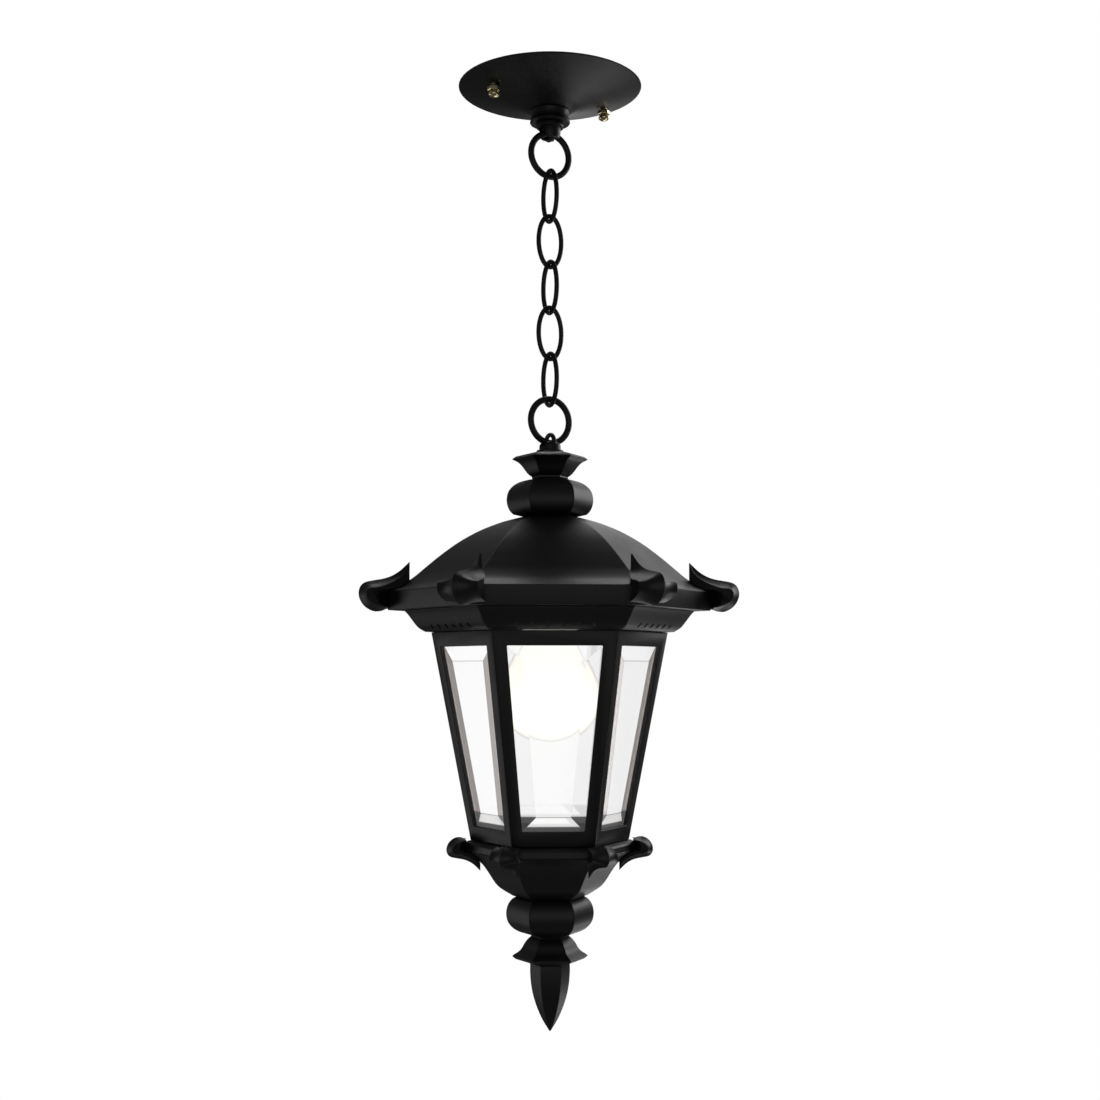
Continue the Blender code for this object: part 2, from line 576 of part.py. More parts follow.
def scroll_blank(name, tip_r, tip_z, scale, flip):
    """A corner scroll: a pointed ridge that falls outward and rolls under.

    Sections across the ridge line are lofted from cheek to cheek.  Each section is a
    closed line in (out, up, across) from the tip, in parts of the scroll's reach.
    """
    ridge = [(0.000, 0.000), (0.100, -0.100), (0.215, -0.200), (0.365, -0.288), (0.526, -0.340),
             (0.702, -0.370), (0.863, -0.405), (0.958, -0.478), (1.000, -0.605), (0.974, -0.749),
             (0.877, -0.889), (0.716, -0.980), (0.570, -0.982), (0.474, -0.947),
             (0.440, -0.905), (0.400, -0.870), (0.400, -0.620), (0.390, -0.585), (0.263, -0.556),
             (0.000, -0.468)]
    cheek = [(0.000, -0.023, 0.06), (0.058, -0.161, 0.15), (0.129, -0.278, 0.29),
             (0.263, -0.386, 0.56), (0.424, -0.474, 0.81), (0.570, -0.526, 0.95),
             (0.702, -0.538, 0.99), (0.789, -0.573, 1.00), (0.816, -0.652, 1.00),
             (0.784, -0.760, 0.99), (0.687, -0.836, 0.97), (0.570, -0.889, 0.94),
             (0.482, -0.912, 0.90), (0.427, -0.918, 0.88), (0.456, -0.886, 0.88),
             (0.573, -0.839, 0.95), (0.591, -0.643, 0.97), (0.482, -0.573, 0.87),
             (0.234, -0.541, 0.52), (0.000, -0.468, 0.06)]
    outer = 14                      # points of each section that lie on its outer side
    reach = SCROLL_REACH * scale
    half = SCROLL_WIDTH / 2 * scale
    up = -1.0 if flip else 1.0
    bm = bmesh.new()
    rows = []
    for side in (-1.0, -0.5, 0.0, 0.5, 1.0):
        row = []
        for j, (r, c) in enumerate(zip(ridge, cheek)):
            fall = {0.0: 0.0, 0.5: 0.78 if j < outer else 0.5, 1.0: 1.0}[abs(side)]
            out = r[0] + (c[0] - r[0]) * fall
            rise = r[1] + (c[1] - r[1]) * fall
            row.append(bm.verts.new((tip_r + out * reach, side * c[2] * half,
                                     tip_z + up * rise * reach)))
        rows.append(row)
    count = len(ridge)
    for low, high in zip(rows, rows[1:]):
        for j in range(count):
            k = (j + 1) % count
            bm.faces.new((low[j], high[j], high[k], low[k]))
    bm.faces.new(rows[0])
    bm.faces.new(list(reversed(rows[-1])))
    bmesh.ops.recalc_face_normals(bm, faces=bm.faces)
    mesh = bpy.data.meshes.new(name)
    bm.to_mesh(mesh)
    bm.free()
    return mesh


def scrolls(prefix, tip_r, tip_z, scale, flip, hollow):
    """Six corner scrolls, each fitted over the solid that it straddles."""
    for i in range(SIDES):
        mesh = scroll_blank("%s_%d" % (prefix, i + 1), tip_r, tip_z, scale, flip)
        obj = add("%s_%d" % (prefix, i + 1), mesh, "coat")
        obj.rotation_euler.z = math.tau * i / SIDES
        boolean(obj, hollow)


grow = GAP / COS30
seat_line = [(0.0, ROOF_TOP + 0.001)] + [(r + grow * 0.6, z + GAP) for r, z in slope_line]
seat_line += [(EAVE_R + grow, EAVE_Z - 0.0008), (EAVE_R - FASCIA_BATTER + grow, FASCIA_FOOT),
              (EAVE_R - FASCIA_BATTER - 0.003, FASCIA_FOOT - GAP), (0.0, FASCIA_FOOT - GAP)]
roof_seat = lathe("roof_seat", seat_line, SIDES, closed=False, group=cutters)
scrolls("roof_scroll", EAVE_R - SCROLL_TIP_IN, EAVE_Z + SCROLL_TIP_UP, 1.0, False, roof_seat)

# ------------------------------------------------------------------ cornice with vent slots
line = [(CORNICE_TOP_R, CORNICE_TOP)] + spline([
    (CORNICE_TOP_R - (CORNICE_TOP_R - CAGE_TOP_R) * f, CORNICE_TOP - CORNICE_H * g) for f, g in (
        (0.110, 0.145), (0.228, 0.335), (0.337, 0.525), (0.456, 0.715), (0.532, 0.810),
        (0.640, 0.905), (0.780, 0.985))], 1)
line[-1] = (line[-1][0], CORNICE_FOOT)
foot_in = cage_r(CAGE_TOP, CAGE_WALL) - 0.0030
lining = [(foot_in, CORNICE_FOOT), (foot_in, CORNICE_FOOT + CORNICE_WALL)]
lining += [p for p in reversed(inward(line, CORNICE_WALL)[1:-1])
           if p[1] > CORNICE_FOOT + CORNICE_WALL + 0.0004]
lining += [(CORNICE_TOP_R - 0.0040, CORNICE_TOP)]
cornice = lathe("cornice", line + lining, SIDES)
slot_mesh = bpy.data.meshes.new("vent_slots")
bm = bmesh.new()
for f in range(SIDES):
    face_turn = Matrix.Rotation(math.tau * (f + 0.5) / SIDES, 4, "Z")
    for k in range(SLOTS_PER_FACE):
        across = (k - (SLOTS_PER_FACE - 1) / 2) * SLOT_PITCH
        made = bmesh.ops.create_cube(bm, size=1.0)["verts"]
        middle = (cage_r(CAGE_TOP) * COS30 + CORNICE_TOP_R * COS30) / 2 + 0.0035
        place = face_turn @ Matrix.Translation((middle, across, CORNICE_FOOT + SLOT_HEIGHT / 2))
        shape = Matrix.Diagonal((0.0150, SLOT_WIDTH, SLOT_HEIGHT + 0.0008, 1.0))
        bmesh.ops.transform(bm, matrix=place @ shape, verts=made)
bm.to_mesh(slot_mesh)
bm.free()
boolean(cornice, add("vent_slots", slot_mesh, "coat", cutters))

# ------------------------------------------------------------------ cage, glass and keeper
cage = lathe("cage_frame", [
    (CAGE_TOP_R, CAGE_TOP), (CAGE_BOTTOM_R, CAGE_FOOT), (CAGE_BOTTOM_R - CAGE_WALL, CAGE_FOOT),
    (CAGE_TOP_R - CAGE_WALL, CAGE_TOP)], SIDES)
WINDOW_TOP = CAGE_TOP - RAIL_TOP_H
WINDOW_FOOT = CAGE_FOOT + RAIL_BOTTOM_H
WINDOW_HALF_TOP = cage_r(WINDOW_TOP) / 2 - POST_TOP_W
WINDOW_HALF_FOOT = cage_r(WINDOW_FOOT) / 2 - POST_BOTTOM_W
WINDOW_SLOPE = (WINDOW_HALF_TOP - WINDOW_HALF_FOOT) / (WINDOW_TOP - WINDOW_FOOT)
window_mesh = bpy.data.meshes.new("windows")
bm = bmesh.new()
for f in range(SIDES):
    made = bmesh.ops.create_cube(bm, size=2.0)["verts"]
    for v in made:
        half = WINDOW_HALF_TOP if v.co.z > 0 else WINDOW_HALF_FOOT
        v.co = (CAGE_BOTTOM_R * 0.55 if v.co.x < 0 else CAGE_TOP_R * 1.2, v.co.y * half,
                WINDOW_TOP if v.co.z > 0 else WINDOW_FOOT)
    bmesh.ops.rotate(bm, verts=made, matrix=Matrix.Rotation(math.tau * (f + 0.5) / SIDES, 3, "Z"))
bm.to_mesh(window_mesh)
bm.free()
boolean(cage, add("windows", window_mesh, "coat", cutters))

LEAN = math.atan((CAGE_TOP_R - CAGE_BOTTOM_R) * COS30 / CAGE_H)
pane_mid = (GLASS_TOP + GLASS_FOOT) / 2
pane_tall = (GLASS_TOP - GLASS_FOOT) / math.cos(LEAN)
# the bevel meets the frame at the window's edge, so the pane's own edge stands back
STAND_BACK = (GLASS_THICK - GLASS_EDGE) * GLASS_LAP / GLASS_BEVEL + GAP
for f in range(SIDES):
    mesh = bpy.data.meshes.new("glass_panel_%d" % (f + 1))
    bm = bmesh.new()
    bmesh.ops.create_cube(bm, size=2.0)
    for v in bm.verts:
        z = GLASS_TOP if v.co.z > 0 else GLASS_FOOT
        half = WINDOW_HALF_FOOT + WINDOW_SLOPE * (z - WINDOW_FOOT) + GLASS_LAP
        v.co = (0.0 if v.co.x > 0 else -GLASS_EDGE, v.co.y * half, v.co.z * pane_tall / 2)
    bm.normal_update()
    front = [fc for fc in bm.faces if fc.normal.x > 0.9]
    bmesh.ops.inset_region(bm, faces=front, thickness=GLASS_BEVEL, use_even_offset=True)
    bmesh.ops.translate(bm, vec=(GLASS_THICK - GLASS_EDGE, 0, 0),
                        verts=list({v for fc in front for v in fc.verts}))
    bm.to_mesh(mesh)
    bm.free()
    pane = add("glass_panel_%d" % (f + 1), mesh, "pane")
    azimuth = math.tau * (f + 0.5) / SIDES
    seat = cage_r(pane_mid, CAGE_WALL) * COS30 - STAND_BACK / math.cos(LEAN)
    pane.location = (seat * math.cos(azimuth), seat * math.sin(azimuth), pane_mid)
    pane.rotation_euler = (0.0, LEAN, azimuth)

keeper_top = CAGE_TOP - GAP
keeper_foot = max(keeper_top - KEEPER_H, GLASS_TOP + GAP)
rim = CAGE_WALL + GAP / COS30
lathe("glass_keeper", [
    (cage_r(keeper_foot, rim), keeper_top), (cage_r(keeper_foot, rim), keeper_foot),
    (cage_r(keeper_foot, rim) - KEEPER_W, keeper_foot),
    (cage_r(keeper_foot, rim) - KEEPER_W, keeper_top)], SIDES, "alloy")

# ------------------------------------------------------------------ lamp holder and bulb
lathe("socket_bracket", [
    (SOCKET_R + GAP + CUP_WALL, CUP_TOP), (SOCKET_R + GAP + CUP_WALL, CUP_TOP - CUP_H),
    (SOCKET_R + GAP, CUP_TOP - CUP_H), (SOCKET_R + GAP, SOCKET_TOP + GAP),
    (PIPE_R + GAP, SOCKET_TOP + GAP), (PIPE_R + GAP, CUP_TOP)], ROUND, "zinc", smooth=True)
well_r = BASE_R + 2 * GAP + SHELL_WALL + GAP
well_top = BASE_TOP + 0.0030
lathe("socket_body", [
    (0.0, SOCKET_TOP), (SOCKET_R, SOCKET_TOP), (SOCKET_R, SOCKET_FOOT), (well_r, SOCKET_FOOT),
    (well_r, well_top), (0.0, well_top)], ROUND, "china", closed=False, smooth=True)
lathe("socket_shell", [
    (BASE_R + 2 * GAP + SHELL_WALL, well_top - GAP), (BASE_R + 2 * GAP + SHELL_WALL, BASE_FOOT),
    (BASE_R + 2 * GAP, BASE_FOOT), (BASE_R + 2 * GAP, well_top - GAP)], ROUND, "alloy",
    smooth=True)
lathe("bulb_base", [
    (0.0, BASE_TOP), (0.0045, BASE_TOP), (0.0050, BASE_TOP - 0.0016),
    (0.0110, BASE_TOP - 0.0040), (BASE_R, BASE_TOP - 0.0060), (BASE_R, BASE_FOOT + GAP),
    (0.0, BASE_FOOT + GAP)], 24, "alloy", closed=False, smooth=True)
tip = BASE_FOOT - BULB_H
equator = tip + BULB_R
shoulder = spline([
    (BASE_R, BASE_FOOT), (BASE_R * 1.06, BASE_FOOT - BULB_H * 0.100),
    (BULB_R * 0.62, BASE_FOOT - BULB_H * 0.230), (BULB_R * 0.83, BASE_FOOT - BULB_H * 0.390),
    (BULB_R * 0.965, BASE_FOOT - BULB_H * 0.520), (BULB_R, equator)], 1)
globe = [(BULB_R * math.cos(a), equator - BULB_R * math.sin(a))
         for a in (math.radians(18 * i) for i in range(1, 5))]
outside = shoulder + globe
hollow = [(r - BULB_WALL, z) for r, z in shoulder]
hollow += [((BULB_R - BULB_WALL) * math.cos(a), equator - (BULB_R - BULB_WALL) * math.sin(a))
           for a in (math.radians(18 * i) for i in range(1, 5))]
lathe("bulb_glass", [(0.0, tip + BULB_WALL)] + hollow[::-1] + outside + [(0.0, tip)],
      ROUND, "frost", closed=False, smooth=True)

# ------------------------------------------------------------------ tray and bowl
lip_top = TRAY_TOP + TRAY_LIP_H
tray_line = [(TRAY_R - 0.0036, TRAY_TOP), (TRAY_R - 0.0012, TRAY_TOP - TRAY_H * 0.16),
             (TRAY_R, TRAY_TOP - TRAY_H * 0.36), (TRAY_R, TRAY_FOOT + TRAY_H * 0.10),
             (TRAY_R - 0.0008, TRAY_FOOT)]
lathe("tray", [(cage_r(lip_top, rim), lip_top), (cage_r(TRAY_TOP, rim), TRAY_TOP)] + tray_line
      + [(TRAY_HOLE_R, TRAY_FOOT), (TRAY_HOLE_R, TRAY_FOOT + TRAY_FLOOR),
         (cage_r(TRAY_TOP, rim) - 0.0040, TRAY_FOOT + TRAY_FLOOR),
         (cage_r(lip_top, rim) - 0.0036, lip_top)], SIDES)

drop = TRAY_R - BOWL_BOTTOM_R
bowl_line = [(TRAY_R - 0.0006, BOWL_TOP)] + spline([
    (BOWL_BOTTOM_R + drop * f, BOWL_TOP - BOWL_H * g) for f, g in (
        (0.900, 0.045), (0.775, 0.140), (0.680, 0.240), (0.600, 0.345), (0.505, 0.510),
        (0.425, 0.660), (0.335, 0.790), (0.210, 0.895), (0.060, 0.980))], 2)
bowl_line[-1] = (bowl_line[-1][0], BOWL_FOOT)
lining = [p for p in reversed(inward(bowl_line, BOWL_WALL)[1:-1])
          if p[1] > BOWL_FOOT + BOWL_WALL + 0.0004 and p[1] < BOWL_TOP - 0.0004]
lathe("bowl", bowl_line + [(ROD_HEX, BOWL_FOOT), (ROD_HEX, BOWL_FOOT + BOWL_WALL),
                           (BOWL_BOTTOM_R * 0.90, BOWL_FOOT + BOWL_WALL)] + lining
      + [(TRAY_R - 0.0046, BOWL_TOP)], SIDES)

low_tip_r = TRAY_R - SCROLL_TIP_IN * LOWER_SCROLL_SCALE
low_tip_z = BOWL_TOP - SCROLL_TIP_UP * LOWER_SCROLL_SCALE + 0.0006
seat_line = [(0.0, TRAY_TOP + GAP), (TRAY_R - 0.0036 + grow, TRAY_TOP + GAP)]
seat_line += [(r + grow, z) for r, z in tray_line[1:-1]]
seat_line += [(r + grow * 0.8, z - GAP) for r, z in bowl_line] + [(0.0, BOWL_FOOT - 0.001)]
bowl_seat = lathe("bowl_seat", seat_line, SIDES, closed=False, group=cutters)
scrolls("lower_scroll", low_tip_r, low_tip_z, LOWER_SCROLL_SCALE, True, bowl_seat)

# ------------------------------------------------------------------ lower knop, skirt and spike
line = [(r, LOWER_KNOP_TOP + LOWER_KNOP_FOOT - z) for r, z in reversed(
    knop_line(LOWER_KNOP_TOP, LOWER_KNOP_H, LOWER_KNOP_R, SKIRT_NECK_R, BOWL_BOTTOM_R))]
lathe("lower_knop", line + [(ROD_HEX, LOWER_KNOP_FOOT), (ROD_HEX, LOWER_KNOP_TOP)], SIDES)

line = [(SKIRT_NECK_R, SKIRT_TOP)] + spline([
    (SKIRT_NECK_R * 1.02, SKIRT_TOP - SKIRT_H * 0.040), (SKIRT_R * 0.575, SKIRT_TOP - SKIRT_H * 0.120),
    (SKIRT_R * 0.665, SKIRT_TOP - SKIRT_H * 0.270), (SKIRT_R * 0.735, SKIRT_TOP - SKIRT_H * 0.440),
    (SKIRT_R * 0.815, SKIRT_TOP - SKIRT_H * 0.570), (SKIRT_R * 0.950, SKIRT_TOP - SKIRT_H * 0.690)], 1)
line += [(SKIRT_R, SKIRT_TOP - SKIRT_H * 0.750), (SKIRT_R * 0.905, SKIRT_TOP - SKIRT_H * 0.855),
         (SPIKE_R + 0.0010, SKIRT_FOOT),
         (ROD_HEX, SKIRT_FOOT), (ROD_HEX, SKIRT_TOP)]
lathe("skirt", line, SIDES)

rod_foot = SPIKE_TOP - ROD_IN_SPIKE
line = [(0.0, rod_foot - GAP), (ROD_HEX, rod_foot - GAP), (ROD_HEX, SPIKE_TOP)]
line += spline([(SPIKE_R * f, SPIKE_TOP - SPIKE_H * g) for f, g in (
    (1.000, 0.000), (1.000, 0.130), (0.955, 0.300), (0.845, 0.470), (0.650, 0.650),
    (0.385, 0.825), (0.085, 0.970))], 2) + [(0.0, SPIKE_FOOT)]
lathe("spike", line, SIDES, closed=False)

nut_low = BOWL_FOOT + BOWL_WALL + GAP
nut_high = nut_low + 0.0045
lathe("tie_rod", [(0.0, nut_high + 0.0030), (ROD_R, nut_high + 0.0030), (ROD_R, rod_foot),
                  (0.0, rod_foot)], 16, "zinc", closed=False, smooth=True)
lathe("tie_rod_nut", [(0.0068, nut_high), (0.0068, nut_low), (ROD_HEX, nut_low),
                      (ROD_HEX, nut_high)], SIDES, "zinc")

# everything made since the chain swings with the lantern
for obj in parts.objects:
    if obj not in above_lantern:
        hang(obj, lantern)
bpy.context.view_layer.update()
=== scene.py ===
# %% [markdown]
# # A six-sided hanging lantern
# The lantern hangs from a round ceiling canopy by two rings and five links. Its solid
# model is already made, so this lesson only dresses it: each casting gets its
# soft edges, each wire its roundness, and each surface its finish. Everything is in
# metres, and every place is read from the imported model.

# %% load the imported model
import json
import math
import bpy
import bmesh
from mathutils import Matrix, Vector

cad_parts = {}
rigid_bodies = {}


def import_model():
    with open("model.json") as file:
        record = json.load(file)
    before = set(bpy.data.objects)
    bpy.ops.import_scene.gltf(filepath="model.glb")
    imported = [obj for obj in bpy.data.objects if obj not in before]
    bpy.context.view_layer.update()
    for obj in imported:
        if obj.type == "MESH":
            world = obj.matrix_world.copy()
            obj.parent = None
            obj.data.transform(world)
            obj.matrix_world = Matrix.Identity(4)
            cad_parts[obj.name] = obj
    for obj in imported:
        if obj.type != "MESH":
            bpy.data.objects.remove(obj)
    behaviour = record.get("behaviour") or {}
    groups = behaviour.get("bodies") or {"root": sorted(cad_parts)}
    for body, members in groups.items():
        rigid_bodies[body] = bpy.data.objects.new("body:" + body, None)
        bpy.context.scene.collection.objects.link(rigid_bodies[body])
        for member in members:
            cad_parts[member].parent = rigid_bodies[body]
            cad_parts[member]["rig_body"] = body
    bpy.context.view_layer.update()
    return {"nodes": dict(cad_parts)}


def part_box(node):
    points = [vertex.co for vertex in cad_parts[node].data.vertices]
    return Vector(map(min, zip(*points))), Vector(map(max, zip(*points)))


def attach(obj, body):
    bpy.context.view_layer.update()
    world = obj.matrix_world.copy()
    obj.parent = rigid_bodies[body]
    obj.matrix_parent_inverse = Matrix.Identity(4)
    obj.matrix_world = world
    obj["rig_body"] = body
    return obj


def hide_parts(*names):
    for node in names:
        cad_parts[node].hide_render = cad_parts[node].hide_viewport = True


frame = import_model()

# %% [markdown]
# ## Sizes that several pieces share
# A corner of every six-sided casting stands on the X axis, so the largest X of a node is
# the distance from the middle to its corners. The rings and links hang in two upright
# planes, square to each other, turned 28 degrees from the lantern.

# %% shared sizes and small readers
SIDES = 6
COS30 = math.cos(math.radians(30))
GAP = 0.0003
RING_PLANE = math.radians(28)
LINK_PLANE = RING_PLANE + math.radians(90)
CORE = 0.0059                       # corner radius of the hole round the threaded stem
ROD_CORE = 0.0038                   # the same round the thinner tie rod
SCREW_SPAN = 0.0889                 # between the two canopy screws
SCREW_HOLE_R = 0.0023
RING_WIRE_R = 0.0022
LINK_WIRE_R = 0.00165
RING_ACROSS = 0.0301                # between the middles of the wire
LINK_ACROSS = 0.0180
BUTT_GAP = 0.0036                   # a link's open joint, as a share of its length
WIRE_BORE_R = 0.0026                # passage for the lamp wire
CAGE_FOOT_R = 0.0532


def top_and_foot(node):
    low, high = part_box(node)
    return high.z, low.z


def corner_of(node):
    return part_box(node)[1].x


for node in ("canopy", "roof", "cage_frame", "bowl", "spike"):
    print(node, "corner %.4f, top %.4f, foot %.4f" % ((corner_of(node),) + top_and_foot(node)))

# %% [markdown]
# ## Shader groups
# Four effects come back on several finishes, so each is a node group with named sockets:
# the fine orange-peel skin of a sprayed coat, the rub along raised edges, the fine lines
# of drawn or turned metal, and the dust that settles on faces that look up. A group only
# puts out masks and heights; the shader itself stays in each material.

# %% a helper for shader groups
def shader_group(name, inputs, outputs):
    tree = bpy.data.node_groups.new(name, "ShaderNodeTree")
    for label, value in inputs:
        socket = tree.interface.new_socket(label, in_out="INPUT", socket_type="NodeSocketFloat")
        socket.default_value = value
    for label in outputs:
        tree.interface.new_socket(label, in_out="OUTPUT", socket_type="NodeSocketFloat")
    return tree, tree.nodes.new("NodeGroupInput"), tree.nodes.new("NodeGroupOutput")


def feed(tree, socket, value):
    """A socket takes a link from another node, or a plain value."""
    if hasattr(value, "links"):
        tree.links.new(value, socket)
    else:
        socket.default_value = value


def add_node(tree, kind, **values):
    node = tree.nodes.new(kind)
    for label, value in values.items():
        feed(tree, node.inputs[label.replace("_", " ")], value)
    return node


def math_node(tree, operation, a, b, clamp=False):
    node = tree.nodes.new("ShaderNodeMath")
    node.operation = operation
    node.use_clamp = clamp
    feed(tree, node.inputs[0], a)
    feed(tree, node.inputs[1], b)
    return node.outputs[0]


def noise_node(tree, scale, detail=3.0, vector=None):
    if vector is None:
        vector = tree.nodes.new("ShaderNodeTexCoord").outputs["Object"]
    return add_node(tree, "ShaderNodeTexNoise", Scale=scale, Detail=detail,
                    Vector=vector).outputs["Fac"]


# %% orange peel: the pebbled skin of a sprayed or powdered coat
peel, given, out = shader_group("orange_peel", [("Grain", 1500.0), ("Cloud", 45.0)],
                                ["Height", "Cloud"])
fine = noise_node(peel, given.outputs["Grain"], 2.0)
coarse = noise_node(peel, math_node(peel, "MULTIPLY", given.outputs["Grain"], 0.22), 2.0)
height = math_node(peel, "ADD", math_node(peel, "MULTIPLY", fine, 0.6),
                   math_node(peel, "MULTIPLY", coarse, 0.4))
peel.links.new(height, out.inputs["Height"])
peel.links.new(noise_node(peel, given.outputs["Cloud"], 4.0), out.inputs["Cloud"])

# %% edge rub: where a raised edge is rubbed, its rounded normal leaves the true one
rub, given, out = shader_group("edge_rub", [("Width", 0.0008), ("Strength", 6.0)], ["Mask"])
bevel = add_node(rub, "ShaderNodeBevel", Radius=given.outputs["Width"])
bevel.samples = 6
true_normal = rub.nodes.new("ShaderNodeNewGeometry")
turned = rub.nodes.new("ShaderNodeVectorMath")
turned.operation = "DOT_PRODUCT"
rub.links.new(bevel.outputs["Normal"], turned.inputs[0])
rub.links.new(true_normal.outputs["Normal"], turned.inputs[1])
away = math_node(rub, "SUBTRACT", 1.0, turned.outputs["Value"])
patchy = math_node(rub, "MULTIPLY", math_node(rub, "MULTIPLY", away, given.outputs["Strength"]),
                   noise_node(rub, 220.0, 4.0), clamp=True)
rub.links.new(patchy, out.inputs["Mask"])

# %% turning lines: fine rings left by a lathe or a drawing die, stacked along Z
lines, given, out = shader_group("turning_lines", [("Pitch", 5200.0)], ["Height"])
where = lines.nodes.new("ShaderNodeTexCoord")
parts_of = add_node(lines, "ShaderNodeSeparateXYZ", Vector=where.outputs["Object"])
stacked = add_node(
    lines, "ShaderNodeCombineXYZ", X=math_node(lines, "MULTIPLY", parts_of.outputs["X"], 60.0),
    Z=math_node(lines, "MULTIPLY", parts_of.outputs["Z"], given.outputs["Pitch"]))
lines.links.new(noise_node(lines, 1.0, 3.0, stacked.outputs["Vector"]), out.inputs["Height"])

# %% settled dust: only faces that look up hold it
dust, given, out = shader_group("settled_dust", [("Amount", 0.3)], ["Mask"])
facing = dust.nodes.new("ShaderNodeNewGeometry")
up = add_node(dust, "ShaderNodeSeparateXYZ", Vector=facing.outputs["Normal"])
lying = math_node(dust, "MULTIPLY", math_node(dust, "SUBTRACT", up.outputs["Z"], 0.35), 1.5,
                  clamp=True)
speck = math_node(dust, "MULTIPLY", noise_node(dust, 320.0, 5.0), given.outputs["Amount"])
dust.links.new(math_node(dust, "MULTIPLY", lying, speck, clamp=True), out.inputs["Mask"])
print("shader groups:", sorted(g.name for g in bpy.data.node_groups if g.type == "SHADER"))

# %% [markdown]
# ## Finishes
# `finish` opens a material on the Principled shader and sets its plain values straight on
# the sockets. `use` places one of the groups above, and `tint` mixes two colours by a mask.
# Each finish then adds only what that surface shows.

# %% helpers for finishes
def finish(name, color, roughness, metallic=0.0, **plain):
    material = bpy.data.materials.new(name)
    material.use_nodes = True
    shader = material.node_tree.nodes["Principled BSDF"]
    shader.inputs["Base Color"].default_value = (*color, 1.0)
    shader.inputs["Roughness"].default_value = roughness
    shader.inputs["Metallic"].default_value = metallic
    for label, value in plain.items():
        shader.inputs[label.replace("_", " ")].default_value = value
    material.diffuse_color = (*color, 1.0)
    return material, material.node_tree, shader


def use(tree, group_name, **values):
    node = tree.nodes.new("ShaderNodeGroup")
    node.node_tree = bpy.data.node_groups[group_name]
    for label, value in values.items():
        feed(tree, node.inputs[label], value)
    return node.outputs


def tint(tree, mask, first, second):
    mix = tree.nodes.new("ShaderNodeMix")
    mix.data_type = "RGBA"
    tree.links.new(mask, mix.inputs["Factor"])
    for socket, color in ((mix.inputs[6], first), (mix.inputs[7], second)):
        feed(tree, socket, color if hasattr(color, "links") else (*color, 1.0))
    return mix.outputs[2]


def spread(tree, mask, low, high, start=0.0, end=1.0):
    return add_node(tree, "ShaderNodeMapRange", Value=mask, From_Min=start, From_Max=end,
                    To_Min=low, To_Max=high).outputs["Result"]


def bump(tree, shader, height, distance):
    node = add_node(tree, "ShaderNodeBump", Height=height, Distance=distance, Strength=1.0)
    tree.links.new(node.outputs["Normal"], shader.inputs["Normal"])


# %% the black coats: powder on the castings, paint on the wire
def black_coat(name, color, roughness, grain, depth, rub_color, rub_strength, dust_amount):
    material, tree, shader = finish(name, color, roughness, Specular_IOR_Level=0.5)
    skin = use(tree, "orange_peel", Grain=grain, Cloud=45.0)
    edge = use(tree, "edge_rub", Width=0.0007, Strength=rub_strength)
    top = use(tree, "settled_dust", Amount=dust_amount)
    lighter = tuple(c * 1.35 for c in color)
    body = tint(tree, skin["Cloud"], color, lighter)
    body = tint(tree, edge["Mask"], body, rub_color)
    tree.links.new(tint(tree, top["Mask"], body, (0.10, 0.095, 0.085)), shader.inputs["Base Color"])
    tree.links.new(spread(tree, skin["Cloud"], roughness - 0.06, roughness + 0.07),
                   shader.inputs["Roughness"])
    bump(tree, shader, skin["Height"], depth)
    return material


powder_black = black_coat("powder_black", (0.0075, 0.0075, 0.0080), 0.42, 1500.0, 0.00006,
                          (0.030, 0.030, 0.031), 3.0, 0.05)
wire_black = black_coat("wire_black", (0.0085, 0.0085, 0.0090), 0.42, 2600.0, 0.000016,
                        (0.045, 0.043, 0.040), 3.5, 0.03)

# %% plain metals: lacquered brass, dull zinc, spun aluminium, green passivated screw
def plain_metal(name, color, worn, roughness, pitch, depth):
    material, tree, shader = finish(name, color, roughness, 1.0)
    skin = use(tree, "orange_peel", Grain=420.0, Cloud=130.0)
    turned = use(tree, "turning_lines", Pitch=pitch)
    edge = use(tree, "edge_rub", Width=0.0004, Strength=4.0)
    body = tint(tree, skin["Cloud"], color, worn)
    tree.links.new(tint(tree, edge["Mask"], body, tuple(min(1.0, c * 1.25) for c in color)),
                   shader.inputs["Base Color"])
    tree.links.new(spread(tree, skin["Cloud"], roughness - 0.08, roughness + 0.12),
                   shader.inputs["Roughness"])
    bump(tree, shader, turned["Height"], depth)
    return material


lacquered_brass = plain_metal("lacquered_brass", (0.98, 0.88, 0.55), (0.86, 0.72, 0.40),
                              0.19, 6000.0, 0.00003)
dull_zinc = plain_metal("dull_zinc", (0.56, 0.57, 0.58), (0.40, 0.41, 0.42), 0.38, 4200.0, 0.00004)
spun_alloy = plain_metal("spun_alloy", (0.80, 0.79, 0.76), (0.62, 0.61, 0.58), 0.28, 7000.0,
                         0.00003)
green_passivate = plain_metal("green_passivate", (0.06, 0.33, 0.13), (0.03, 0.20, 0.08), 0.35,
                              5000.0, 0.00003)

# %% glazed porcelain: glossy white with a little unevenness in the glaze
porcelain, tree, shader = finish("porcelain", (0.84, 0.83, 0.79), 0.22, Coat_Weight=0.5)
glaze = use(tree, "orange_peel", Grain=160.0, Cloud=60.0)
tree.links.new(tint(tree, glaze["Cloud"], (0.86, 0.85, 0.82), (0.76, 0.74, 0.69)),
               shader.inputs["Base Color"])
tree.links.new(spread(tree, glaze["Cloud"], 0.16, 0.32), shader.inputs["Roughness"])
bump(tree, shader, glaze["Height"], 0.00012)
